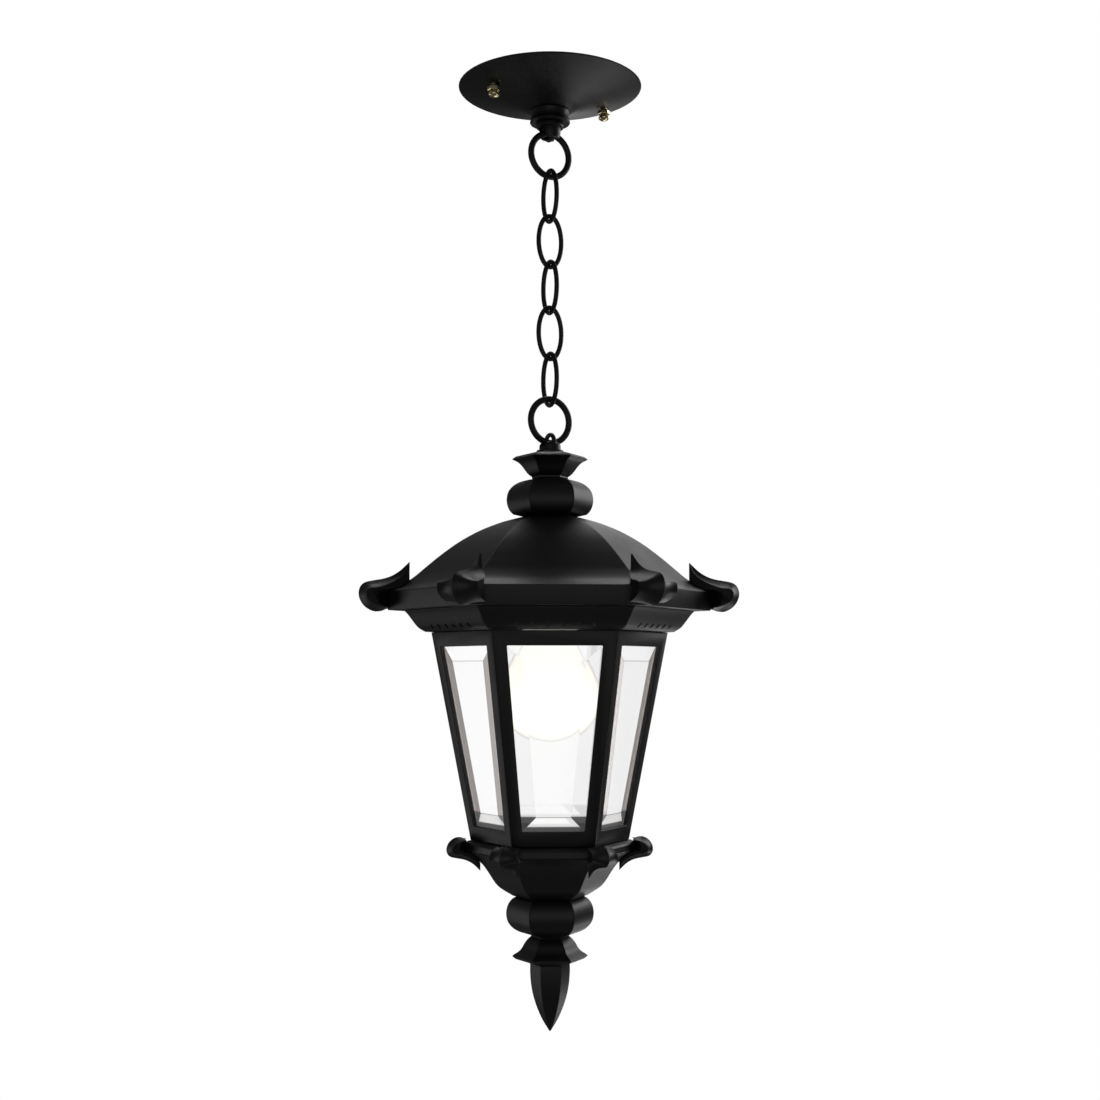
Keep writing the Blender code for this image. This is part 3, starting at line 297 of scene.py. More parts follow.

# %% pane glass: bright with a painted glow where it is flat, darker with painted shade in its ground bevels and where it slants
def glass_with_painted_glow(name, color, slant_shade_color, roughness, glow, painted_glow_color, painted_slant_glow, fade=(-0.35, 1.45),
              painted_shade_foot=None):
    # painted light: the glass glows by its own Emission, though it is no lamp
    material, tree, shader = finish(name, color, roughness, 0.0, Transmission_Weight=1.0,
                                    IOR=1.5, Emission_Strength=glow,
                                    Specular_IOR_Level=0.08)
    cloud = use(tree, "orange_peel", Grain=300.0, Cloud=18.0)
    # painted shade: where the glass slants away its colour darkens and its painted glow changes tint
    slant = add_node(tree, "ShaderNodeLayerWeight", Blend=0.5)
    painted_slant_mask = math_node(tree, "MULTIPLY", spread(tree, slant.outputs["Facing"], *fade), 1.0,
                            clamp=True)
    lit = tint(tree, painted_slant_mask, painted_glow_color, painted_slant_glow)
    clear = tint(tree, painted_slant_mask, color, slant_shade_color)
    # painted shade: below the given height the glow goes black and the colour near black, a painted
    # dark band
    if painted_shade_foot is not None:
        where = add_node(tree, "ShaderNodeSeparateXYZ",
                         Vector=tree.nodes.new("ShaderNodeTexCoord").outputs["Object"])
        below = spread(tree, where.outputs["Z"], 0.0, 1.0, painted_shade_foot + 0.0006, painted_shade_foot - 0.0002)
        lit = tint(tree, below, lit, (0.0, 0.0, 0.0))
        clear = tint(tree, below, clear, (0.004, 0.004, 0.004))
    faint = spread(tree, cloud["Cloud"], 0.0, 0.05)
    tree.links.new(tint(tree, faint, lit, (0.75, 0.75, 0.75)), shader.inputs["Emission Color"])
    tree.links.new(tint(tree, faint, clear, (0.5, 0.5, 0.5)), shader.inputs["Base Color"])
    tree.links.new(spread(tree, cloud["Cloud"], roughness * 0.6, roughness * 1.4),
                   shader.inputs["Roughness"])
    bump(tree, shader, cloud["Height"], 0.00001)
    return material


BEVEL_TOP_AT_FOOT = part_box("cage_frame")[0].z + 0.0195
# painted glow on every pane; the side bevels add painted shade where they slant and a painted dark
# band below the bevel top at the foot, and the foot bevel a painted dark strip along its low edge
pane_glass = glass_with_painted_glow("pane_glass", (0.30, 0.30, 0.30), (0.27, 0.27, 0.27), 0.02, 0.43,
                       (1.0, 1.0, 1.0), (0.86, 0.86, 0.87))
bevel_glass = glass_with_painted_glow("bevel_glass", (0.78, 0.78, 0.79), (0.08, 0.076, 0.074), 0.03, 0.05,
                        (1.0, 0.96, 0.92), (0.9, 0.55, 0.35), (-0.43, 3.9), BEVEL_TOP_AT_FOOT)
foot_bevel_glass = glass_with_painted_glow("foot_bevel_glass", (0.80, 0.80, 0.80), (0.45, 0.44, 0.43), 0.03,
                             0.10, (1.0, 0.98, 0.95), (0.8, 0.7, 0.6),
                             painted_shade_foot=BEVEL_TOP_AT_FOOT - 0.0066)

# %% frosted bulb: warm white in the middle, a little peach where the glass turns away, and a painted dark rim at the very edge
frosted_bulb, tree, shader = finish("frosted_bulb", (0.95, 0.92, 0.86), 0.45,
                                    Emission_Strength=1.0)
frost = use(tree, "orange_peel", Grain=900.0, Cloud=30.0)
edge_on = add_node(tree, "ShaderNodeLayerWeight", Blend=0.35)
# painted shade: the bulb's glow fades to near black at its rim, where the glass turns away
rim = spread(tree, edge_on.outputs["Facing"], 0.0, 1.0, 0.48, 0.68)
warm = tint(tree, edge_on.outputs["Facing"], (1.0, 0.95, 0.74), (0.92, 0.74, 0.56))
tree.links.new(tint(tree, rim, warm, (0.10, 0.085, 0.075)), shader.inputs["Emission Color"])
tree.links.new(tint(tree, frost["Cloud"], (0.95, 0.92, 0.86), (0.90, 0.86, 0.78)),
               shader.inputs["Base Color"])
bump(tree, shader, frost["Height"], 0.00005)
print("finishes:", sorted(m.name for m in bpy.data.materials))

# %% [markdown]
# ## Turning a profile into a casting
# A profile is a list of (radius, height) points. `flowing` draws a smooth line through
# given points, and `eased` rounds each sharp corner of the profile with a small arc,
# as a cast and coated edge is. `casting` then carries the profile round six sides with a
# small round on every corner, and `turned_piece` carries it round a circle.

# %% smooth lines and eased corners
def flowing(points, per_span=6):
    pts = [Vector(p) for p in points]
    pts = [2 * pts[0] - pts[1]] + pts + [2 * pts[-1] - pts[-2]]
    line = []
    for a, b, c, d in zip(pts, pts[1:], pts[2:], pts[3:]):
        for i in range(per_span):
            t = i / per_span
            line.append(0.5 * (2 * b + (c - a) * t + (2 * a - 5 * b + 4 * c - d) * t * t
                               + (3 * b - a - 3 * c + d) * t ** 3))
    return [tuple(p) for p in line + [pts[-2]]]


def eased(profile, radius, closed=True, sharpest=24):
    count = len(profile)
    line = []
    for i, point in enumerate(profile):
        here = Vector(point)
        if not closed and i in (0, count - 1):
            line.append(here)
            continue
        before, after = Vector(profile[i - 1]), Vector(profile[(i + 1) % count])
        back, on = before - here, after - here
        if min(back.length, on.length) < 1e-7:
            continue
        turn = math.pi - back.angle(on)
        if turn < math.radians(sharpest) or turn > math.radians(172):
            line.append(here)
            continue
        reach = min(radius * math.tan(turn / 2), 0.42 * back.length, 0.42 * on.length)
        start, end = here + back.normalized() * reach, here + on.normalized() * reach
        if back.length > 4 * reach:
            line.append(start + back.normalized() * reach * 0.6)
        for step in range(5):
            t = step / 4
            line.append(start * (1 - t) ** 2 + here * 2 * t * (1 - t) + end * t ** 2)
        if on.length > 4 * reach:
            line.append(end + on.normalized() * reach * 0.6)
    return [(max(p.x, 0.0), p.y) for p in line]


def inner_line(profile, wall):
    pts = [Vector(p) for p in profile]
    line = []
    for i, p in enumerate(pts):
        a = (p - pts[i - 1]).normalized() if i else None
        b = (pts[i + 1] - p).normalized() if i + 1 < len(pts) else None
        along = (b if a is None else a if b is None else a + b).normalized()
        line.append(tuple(p + Vector((along.y, -along.x)) * wall))
    return line


print("a right angle, eased:", len(eased([(0, 0), (1, 0), (1, 1)], 0.1)), "points")

# %% sections and the mesh that joins them
def mesh_of(bm, name):
    mesh = bpy.data.meshes.new(name)
    bm.to_mesh(mesh)
    bm.free()
    return mesh


def new_object(name, mesh):
    obj = bpy.data.objects.new(name, mesh)
    bpy.context.scene.collection.objects.link(obj)
    return obj


def six_corners(radius, corner):
    """One level of a six-sided casting, with its corners rounded."""
    corner = min(corner, 0.30 * radius)
    middle = (radius * COS30 - corner) / COS30
    section = []
    for k in range(SIDES):
        turn = math.tau * k / SIDES
        round_part = [Vector((middle * math.cos(turn) + corner * math.cos(turn + a),
                              middle * math.sin(turn) + corner * math.sin(turn + a)))
                      for a in (math.radians(s) for s in (-30, -15, 0, 15, 30))]
        lead = corner * 0.55
        first = round_part[0] - lead * Vector((-math.sin(turn - math.radians(30)),
                                               math.cos(turn - math.radians(30))))
        last = round_part[-1] + lead * Vector((-math.sin(turn + math.radians(30)),
                                               math.cos(turn + math.radians(30))))
        section += [first] + round_part + [last]
    return section


def round_section(radius, around):
    return [Vector((radius * math.cos(math.tau * k / around),
                    radius * math.sin(math.tau * k / around))) for k in range(around)]


def carried_round(name, profile, section_of, closed):
    bm = bmesh.new()
    rows = []
    for radius, z in profile:
        if radius < 1e-6:
            rows.append([bm.verts.new((0.0, 0.0, z))])
        else:
            rows.append([bm.verts.new((p.x, p.y, z)) for p in section_of(radius)])
    pairs = list(zip(rows, rows[1:])) + ([(rows[-1], rows[0])] if closed else [])
    for upper, lower in pairs:
        around = max(len(upper), len(lower))
        for k in range(around):
            n = (k + 1) % around
            ring = [upper[k % len(upper)], upper[n % len(upper)], lower[n % len(lower)],
                    lower[k % len(lower)]]
            face = list(dict.fromkeys(ring))
            if len(face) > 2:
                bm.faces.new(face)
    bmesh.ops.remove_doubles(bm, verts=bm.verts, dist=1e-7)
    bmesh.ops.recalc_face_normals(bm, faces=bm.faces)
    mesh = mesh_of(bm, name)
    mesh.shade_smooth()
    return mesh


def shares(radius, top, tall, *pairs):
    """Points given as shares of the radius and of the height, from the top down."""
    return [(radius * r, top - tall * h) for r, h in pairs]


def casting(name, profile, edge=0.0005, corner=0.0009, closed=True):
    return new_object(name, carried_round(name, eased(profile, edge, closed),
                                          lambda r: six_corners(r, corner), closed))


def turned_piece(name, profile, edge=0.0004, around=96, closed=True):
    return new_object(name, carried_round(name, eased(profile, edge, closed),
                                          lambda r: round_section(r, around), closed))


# %% [markdown]
# `settle` is the last word on a finished piece: it applies what modifiers are left, gives
# the material, hides the plain CAD nodes that the piece stands for, and sets it riding
# on its body.

# %% finishing a piece
def applied(obj):
    graph = bpy.context.evaluated_depsgraph_get()
    mesh = bpy.data.meshes.new_from_object(obj.evaluated_get(graph), preserve_all_data_layers=True,
                                           depsgraph=graph)
    obj.modifiers.clear()
    obj.data = mesh
    return obj


def settle(obj, material, slot, body, *nodes):
    if obj.modifiers:
        applied(obj)
    if material is not None:
        obj.data.materials.clear()
        obj.data.materials.append(material)
    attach(obj, body)
    if nodes:
        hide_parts(*nodes)
    return obj


def cut(obj, tool, operation="DIFFERENCE"):
    modifier = obj.modifiers.new("cut", "BOOLEAN")
    modifier.operation = operation
    modifier.solver = "EXACT"
    modifier.object = tool
    applied(obj)
    bpy.data.objects.remove(tool)
    return obj


def slab(name, size, at, turn):
    bm = bmesh.new()
    bmesh.ops.create_cube(bm, size=1.0, matrix=Matrix.Translation(at)
                          @ Matrix.Rotation(turn, 4, "Z") @ Matrix.Diagonal((*size, 1.0)))
    return new_object(name, mesh_of(bm, name))


def rod(name, radius, top, foot, around=48, at=(0, 0)):
    bm = bmesh.new()
    bmesh.ops.create_cone(bm, cap_ends=True, segments=around, radius1=radius, radius2=radius,
                          depth=top - foot, matrix=Matrix.Translation((*at, (top + foot) / 2)))
    return new_object(name, mesh_of(bm, name))


def crisp(obj, angle=32):
    obj.data.shade_smooth()
    obj.data.set_sharp_from_angle(angle=math.radians(angle))
    return obj


def joined_copy(node):
    """A CAD node's shape with its loose triangles joined into whole faces."""
    bm = bmesh.new()
    bm.from_mesh(frame["nodes"][node].data)
    bmesh.ops.remove_doubles(bm, verts=bm.verts, dist=1e-6)
    bmesh.ops.dissolve_limit(bm, angle_limit=math.radians(0.4), verts=bm.verts, edges=bm.edges)
    return bm


def softened(node, width):
    """A copy of a CAD node with its edges rounded."""
    mesh = mesh_of(joined_copy(node), node + "_finished")
    obj = new_object(mesh.name, mesh)
    mesh.shade_smooth()
    edge = obj.modifiers.new("edge", "BEVEL")
    edge.width = width
    edge.segments = 2
    edge.limit_method = "ANGLE"
    edge.angle_limit = math.radians(28)
    edge.harden_normals = True
    return applied(obj)


# %% [markdown]
# ## Canopy, collar and capped screws
# The canopy is a spun steel dome, so its shape is one profile carried round a circle. The
# collar under it is turned too. Each screw ends in a hexagonal nut and a small ball nut of
# brass, which stand on the sloping face and show most of the colour on the whole lantern.

# %% canopy
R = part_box("canopy")[1].x
deep = -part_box("canopy")[0].z
PIPE = 0.0051
dome = flowing(shares(R, 0.0, deep, (0.997, 0.030), (0.986, 0.055), (0.945, 0.102),
                      (0.819, 0.244), (0.700, 0.372), (0.504, 0.593), (0.346, 0.802),
                      (0.262, 0.950), (0.236, 0.992), (0.215, 1.0)), 5)
lining = [(r - 0.0004, z + 0.0012) for r, z in reversed(dome) if z < -0.0024]
profile = ([(R - 0.0004, 0.0), (R, -0.0003)] + dome + [(PIPE, -deep), (PIPE, -deep + 0.0012)]
           + lining + [(R - 0.0032, 0.0)])
canopy = turned_piece("canopy_spun", profile, 0.0003, 128)
for side in (-1, 1):
    place = Vector((math.cos(RING_PLANE), math.sin(RING_PLANE))) * side * SCREW_SPAN / 2
    cut(canopy, rod("drill", SCREW_HOLE_R, 0.015, -0.015, 32, place))
settle(crisp(canopy), powder_black, "coat", "ceiling_plate", "canopy")
print("canopy radius %.4f m, depth %.4f m" % (R, deep))

# %% collar
top, foot = top_and_foot("screw_collar")
R = corner_of("screw_collar")
bore = 0.0078
bell = flowing([(R * 0.950, top), (R * 0.920, top - 0.0016), (R * 0.905, top - 0.0034),
                (R * 0.925, top - 0.0054), (R * 0.975, foot + 0.0016),
                (R * 0.985, foot + 0.0008)], 5)
settle(turned_piece("collar_turned", [(bore, top)] + bell + [(R * 0.950, foot), (bore, foot)],
                    0.0003, 80),
       powder_black, "coat", "ceiling_plate", "screw_collar")
print("collar radius %.4f m" % R)

# %% brass nuts
for tag in "ab":
    low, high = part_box("stud_hex_nut_" + tag)
    middle = Matrix.Translation(((low.x + high.x) / 2, (low.y + high.y) / 2, 0))
    r = (high.x - low.x) / 2
    hexagon = casting("hex_nut_" + tag, [(r * 0.90, high.z), (r, high.z - 0.0005),
                                         (r, low.z + 0.0005), (r * 0.90, low.z),
                                         (0.00275, low.z), (0.00275, high.z)], 0.0002, 0.0004)
    hexagon.data.transform(middle)
    settle(hexagon, lacquered_brass, "brass", "ceiling_plate", "stud_hex_nut_" + tag)
    low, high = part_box("ball_nut_" + tag)
    r, tall = (high.x - low.x) / 2, high.z - low.z
    ball = flowing([(r * math.cos(a), low.z + tall * 0.55 * (1 - math.sin(a)))
                    for a in (math.radians(s) for s in (0, 18, 36, 54, 72, 86))], 3)
    profile = ([(0.0, low.z + 0.0009), (0.0023, low.z + 0.0009), (0.0023, high.z),
                (r * 0.80, high.z), (r * 0.86, high.z - tall * 0.22),
                (r * 0.98, high.z - tall * 0.30)] + ball + [(0.0, low.z)])
    round_nut = turned_piece("ball_nut_turned_" + tag, profile, 0.0002, 48, closed=False)
    round_nut.data.transform(middle)
    settle(round_nut, lacquered_brass, "brass", "ceiling_plate", "ball_nut_" + tag)

# %% [markdown]
# ## Rings, links and eyes, from one tree of Geometry Nodes
# Every loop of the chain is a bent wire: an oval centre line with a round wire swept along
# it. One Geometry Nodes tree makes them all from named sizes. The links are only butted,
# not welded, so their line stops a hair short of closing and leaves a fine gap half way
# up one side; the rings are closed. Each loop swings as its own body, so each is turned
# into its own plain mesh.

# %% the bent wire tree
def geometry_tree(name, inputs):
    tree = bpy.data.node_groups.new(name, "GeometryNodeTree")
    tree.interface.new_socket("Geometry", in_out="INPUT", socket_type="NodeSocketGeometry")
    ids = {}
    for label, kind, value in inputs:
        socket = tree.interface.new_socket(label, in_out="INPUT", socket_type="NodeSocket" + kind)
        if value is not None:
            socket.default_value = value
        ids[label] = socket.identifier
    tree.interface.new_socket("Geometry", in_out="OUTPUT", socket_type="NodeSocketGeometry")
    return tree, ids, tree.nodes.new("NodeGroupInput").outputs, tree.nodes.new("NodeGroupOutput")


def made_by(tree, ids, name, values, mesh=None):
    """Runs a tree on an object and leaves its result as a plain mesh."""
    obj = new_object(name, mesh or bpy.data.meshes.new(name))
    modifier = obj.modifiers.new("made", "NODES")
    modifier.node_group = tree
    for label, value in values.items():
        modifier[ids[label]] = value
    return applied(obj)


wire_tree, wire_ids, given, out = geometry_tree("bent_wire", [
    ("Width", "Float", 0.02), ("Length", "Float", 0.04), ("Wire Radius", "Float", 0.0016),
    ("Butt Gap", "Float", 0.0), ("Turn", "Float", 0.0), ("Middle", "Float", 0.0),
    ("Finish", "Material", None)])
t = wire_tree
circle = add_node(t, "GeometryNodeCurvePrimitiveCircle", Resolution=160, Radius=0.5)
stretch = add_node(t, "ShaderNodeCombineXYZ", X=given["Width"], Y=given["Length"], Z=1.0)
oval = add_node(t, "GeometryNodeTransform", Geometry=circle.outputs["Curve"],
                Scale=stretch.outputs[0])
trimmed = add_node(t, "GeometryNodeTrimCurve", Curve=oval.outputs[0],
                   Start=math_node(t, "MULTIPLY", given["Butt Gap"], 0.5),
                   End=math_node(t, "SUBTRACT", 1.0,
                                 math_node(t, "MULTIPLY", given["Butt Gap"], 0.5)))
butted = t.nodes.new("GeometryNodeSwitch")
butted.input_type = "GEOMETRY"
compare = math_node(t, "GREATER_THAN", given["Butt Gap"], 0.0)
t.links.new(compare, butted.inputs["Switch"])
t.links.new(oval.outputs[0], butted.inputs["False"])
t.links.new(trimmed.outputs[0], butted.inputs["True"])
wire_round = add_node(t, "GeometryNodeCurvePrimitiveCircle", Resolution=20,
                      Radius=given["Wire Radius"])
swept = add_node(t, "GeometryNodeCurveToMesh", Curve=butted.outputs[0],
                 Profile_Curve=wire_round.outputs["Curve"], Fill_Caps=True)
turn = add_node(t, "ShaderNodeCombineXYZ", X=math.radians(90), Z=given["Turn"])
lift = add_node(t, "ShaderNodeCombineXYZ", Z=given["Middle"])
stood = add_node(t, "GeometryNodeTransform", Geometry=swept.outputs["Mesh"],
                 Rotation=turn.outputs[0], Translation=lift.outputs[0])
smooth = add_node(t, "GeometryNodeSetShadeSmooth", Geometry=stood.outputs[0])
real = add_node(t, "GeometryNodeRealizeInstances", Geometry=smooth.outputs[0])
painted = add_node(t, "GeometryNodeSetMaterial", Geometry=real.outputs[0],
                   Material=given["Finish"])
t.links.new(painted.outputs[0], out.inputs[0])
print("bent wire inputs:", list(wire_ids))

# %% rings and links
def loop_of_wire(name, node, wire_radius, turn, gap=0.0):
    low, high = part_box(node)
    across = RING_ACROSS if "ring" in node else LINK_ACROSS
    tall = high.z - low.z - 2 * wire_radius
    return made_by(wire_tree, wire_ids, name, {
        "Width": across, "Length": tall, "Wire Radius": wire_radius, "Butt Gap": gap,
        "Turn": turn, "Middle": (high.z + low.z) / 2, "Finish": wire_black})


for node in ("top_ring", "bottom_ring"):
    settle(loop_of_wire(node + "_wire", node, RING_WIRE_R, RING_PLANE), None, "wire", node, node)
seam_turns = (LINK_PLANE, RING_PLANE + math.pi, LINK_PLANE, RING_PLANE, LINK_PLANE)
for i, turn in enumerate(seam_turns, 1):
    node = "chain_link_%d" % i
    settle(loop_of_wire(node + "_wire", node, LINK_WIRE_R, turn, BUTT_GAP),
           None, "wire", node, node)

# %% [markdown]
# ## The two eyes
# An eye is a short turned body with a slot between two cheeks, and a loop of wire across
# the slot that carries the ring. The body is turned, the slot is cut, and the loop from
# the same wire tree is joined on, with the wire passage drilled through last.

# %% eyes
def eye_piece(name, body_profile, slot_z, loop_z, bores):
    body = turned_piece(name, body_profile, 0.0004, 64, closed=False)
    cut(body, slab("slot", (0.03, 0.0074, slot_z[0] - slot_z[1]),
                   (0, 0, (slot_z[0] + slot_z[1]) / 2), RING_PLANE))
    loop = made_by(wire_tree, wire_ids, "eye_loop", {
        "Width": 0.0113, "Length": 0.0113, "Wire Radius": 0.0015, "Turn": LINK_PLANE,
        "Middle": loop_z, "Finish": wire_black})
    cut(body, loop, "UNION")
    for radius, high, low in bores:
        cut(body, rod("bore", radius, high, low))
    return crisp(body, 38)


EYE_HOLE = 0.00415
CHEEK = 0.0074
spigot = top_and_foot("canopy_loop")[0]
flange = top_and_foot("screw_collar")[1] - GAP - 0.0014
eye_middle = flange - EYE_HOLE + 0.0002
canopy_eye = eye_piece("canopy_eye", [
    (0.0, spigot), (0.0048, spigot), (0.0048, flange + 0.0102), (0.0075, flange + 0.0102),
    (0.0075, flange + 0.0014), (0.0094, flange + 0.0014), (0.0094, flange - 0.0014),
    (CHEEK * 0.99, flange - 0.0018), (CHEEK, flange - 0.0036), (CHEEK * 0.97, flange - 0.0064),
    (CHEEK * 0.84, flange - 0.0088), (0.0, flange - 0.0088)],
    (flange - 0.0015, flange - 0.0150), eye_middle, [(WIRE_BORE_R, spigot + 0.001, eye_middle)])
settle(canopy_eye, wire_black, "wire", "ceiling_plate", "canopy_loop")

high, low = top_and_foot("lantern_loop")
neck = low + 0.0017 + 0.0022
lantern_eye = eye_piece("lantern_eye", [
    (0.0, neck + 0.0036), (CHEEK * 0.66, neck + 0.0036), (CHEEK * 0.86, neck + 0.0026),
    (CHEEK * 0.98, neck + 0.0011), (CHEEK, neck - 0.0022), (0.0092, neck - 0.0024),
    (0.0092, low), (0.0, low)], (neck + 0.0072, neck), high - EYE_HOLE - 0.0015,
    [(0.0051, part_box("stem")[1].z + GAP, low - 0.004), (WIRE_BORE_R, high - EYE_HOLE, low - 0.005)])
settle(lantern_eye, wire_black, "wire", "lantern", "lantern_loop")
print("eyes:", len(canopy_eye.data.polygons), len(lantern_eye.data.polygons), "faces")

# %% [markdown]
# ## The castings of the lantern
# Cap, knops, roof, cornice, tray, bowl, skirt and spike are six-sided castings threaded
# on one stem. Each is one profile: listed points give its curve, and the imported model
# gives its size, so a profile is written as shares of the corner radius and the height.

# %% cap and knops
top, foot = top_and_foot("cap")
R, tall = corner_of("cap"), top - foot
crown = shares(R, top, tall, (0.52, 0.0), (0.897, 0.135), (1.0, 0.240))
cove = flowing(shares(R, top, tall, (0.935, 0.290), (0.83, 0.375), (0.735, 0.515),
                      (0.655, 0.675), (0.575, 0.820), (0.477, 0.930)), 5)
settle(casting("cap_cast", crown + cove + [(R * 0.477, foot), (CORE, foot), (CORE, top)], 0.0004),
       powder_black, "coat", "lantern", "cap")


def knop(name, node, neck_high, neck_low, core, upside_down=False):
    top, foot = top_and_foot(node)
    radius, tall = corner_of(node), top - foot
    bulge = flowing([(radius * r, tall * h) for r, h in (
        (0.500, 0.015), (0.660, 0.062), (0.775, 0.120), (0.860, 0.190), (0.930, 0.280),
        (0.978, 0.390), (1.000, 0.550), (0.986, 0.690), (0.948, 0.810), (0.898, 0.895),
        (0.845, 0.952))], 4)
    line = [(neck_high, 0.0)] + bulge + [(neck_low, tall)]
    if upside_down:
        line = [(r, foot + h) for r, h in reversed(line)]
    else:
        line = [(r, top - h) for r, h in line]
    return settle(casting(name, line + [(core, foot), (core, top)], 0.0004),
                  powder_black, "coat", "lantern", node)


knop("upper_knop_cast", "upper_knop", 0.0125, 0.0196, CORE)
knop("lower_knop_cast", "lower_knop", 0.0126, 0.0226, ROD_CORE, upside_down=True)
print("cap %.1f mm, knops %.1f mm over the corners" % (2000 * R, 2000 * corner_of("upper_knop")))

# %% roof: an ogee slope, a plumb fascia and a soffit
top, foot = top_and_foot("roof")
R = corner_of("roof")
FASCIA, BATTER, WALL, APEX = 0.0125, 0.0032, 0.0020, 0.0200
eave = foot + FASCIA
rise = top - eave
ogee = flowing([(APEX + (R - APEX) * f, top - rise * g) for f, g in (
    (0.000, 0.004), (0.066, 0.034), (0.166, 0.088), (0.307, 0.192), (0.453, 0.340),
    (0.588, 0.517), (0.700, 0.685), (0.785, 0.812), (0.885, 0.925), (1.000, 1.000))], 5)
under = [p for p in reversed(inner_line(ogee, WALL)[2:-1]) if p[0] < R - BATTER - 0.0030]
roof_line = ([(APEX - 0.0010, top)] + ogee + [(R, eave - 0.0008), (R - BATTER, foot),
             (0.0926, foot), (0.0926, foot + 0.0030), (R - BATTER - 0.0030, foot + 0.0030)]
             + under + [(APEX - 0.0040, top - WALL), (CORE, top - WALL), (CORE, top)])
settle(casting("roof_cast", roof_line, 0.0004, 0.0007), powder_black, "coat", "lantern", "roof")
print("roof: corner %.4f m, rise %.4f m, fascia %.4f m" % (R, rise, FASCIA))

# %% [markdown]
# ## Corner scrolls
# A scroll is a leaf of metal folded over each corner: a pointed tip, a sharp ridge that
# falls outward and rolls under at its end, and two cheeks that flare from it. Two given
# lines, the ridge and the cheek, give the side view; the sections between them fan from
# one to the other. It is cut over the solid that it straddles, then turned six times.

# %% the scroll's two lines and its mesh
RIDGE = [(0.000, 0.000), (0.100, -0.100), (0.215, -0.200), (0.365, -0.288), (0.526, -0.340),
         (0.702, -0.370), (0.863, -0.405), (0.958, -0.478), (1.000, -0.605), (0.974, -0.749),
         (0.877, -0.889), (0.716, -0.980), (0.570, -0.982), (0.474, -0.947)]
RIDGE_BACK = [(0.440, -0.905), (0.400, -0.870), (0.400, -0.620), (0.390, -0.585),
              (0.263, -0.556), (0.000, -0.468)]
CHEEKS = [(0.000, -0.023, 0.06), (0.058, -0.161, 0.15), (0.129, -0.278, 0.29),
          (0.263, -0.386, 0.56), (0.424, -0.474, 0.81), (0.570, -0.526, 0.95),
          (0.702, -0.538, 0.99), (0.789, -0.573, 1.00), (0.816, -0.652, 1.00),
          (0.784, -0.760, 0.99), (0.687, -0.836, 0.97), (0.570, -0.889, 0.94),
          (0.482, -0.912, 0.90), (0.427, -0.918, 0.88)]
CHEEKS_BACK = [(0.456, -0.886, 0.88), (0.573, -0.839, 0.95), (0.591, -0.643, 0.97),
               (0.482, -0.573, 0.87), (0.234, -0.541, 0.52), (0.000, -0.468, 0.06)]


def scroll(name, tip_r, tip_z, reach, half, upright):
    ridge = flowing(RIDGE, 3) + flowing(RIDGE_BACK, 2)
    cheek = flowing(CHEEKS, 3) + flowing(CHEEKS_BACK, 2)
    front = len(flowing(RIDGE, 3))
    rows = []
    bm = bmesh.new()
    for step in range(-8, 9):
        share = abs(step) / 8
        row = []
        for j, (r, c) in enumerate(zip(ridge, cheek)):
            fall = 1 - (1 - share) ** 2.18 if j < front else share
            row.append(bm.verts.new((
                tip_r + (r[0] + (c[0] - r[0]) * fall) * reach,
                math.copysign(share, step) * c[2] * half,
                tip_z + upright * (r[1] + (c[1] - r[1]) * fall) * reach)))
        rows.append(row)
    for low, high in zip(rows, rows[1:]):
        for j in range(len(ridge)):
            k = (j + 1) % len(ridge)
            bm.faces.new((low[j], high[j], high[k], low[k]))
    bm.faces.new(rows[0])
    bm.faces.new(list(reversed(rows[-1])))
    bmesh.ops.recalc_face_normals(bm, faces=bm.faces)
    return new_object(name, mesh_of(bm, name))


def six_scrolls(prefix, blank, seat, body="lantern"):
    cut(blank, seat)
    crisp(blank, 42)
    for i in range(SIDES):
        name = "%s_%d" % (prefix, i + 1)
        mesh = blank.data.copy()
        mesh.transform(Matrix.Rotation(math.tau * i / SIDES, 4, "Z"))
        settle(new_object(name + "_cast", mesh), powder_black, "coat", body, name)
    faces = len(blank.data.polygons)
    bpy.data.objects.remove(blank)
    print(prefix, "faces each:", faces)


# %% roof scrolls
REACH, HALF, TIP_IN, TIP_UP = 0.0342, 0.0144, 0.0176, 0.0204
grow = GAP / COS30
seat = casting("roof_seat", [(0.0, top + 0.001)] + [(r + grow * 0.6, z + GAP) for r, z in ogee]
               + [(R + grow, eave - 0.0008), (R - BATTER + grow, foot),
                  (R - BATTER - 0.003, foot - GAP), (0.0, foot - GAP)], 0.0, 0.00005, closed=False)
six_scrolls("roof_scroll", scroll("blank", R - TIP_IN, eave + TIP_UP, REACH, HALF, 1.0), seat)

# %% [markdown]
# ## Cornice with its vent slots
# Under the eave a cove casting steps in to the cage. Warm air leaves through six small
# slots in the foot of each face, so they are a job for Geometry Nodes: one block is set in
# a row, the row is set on each of six faces, and the whole set is cut from the casting.
# The casting is thick behind them, so the slots end blind and no light shows through.

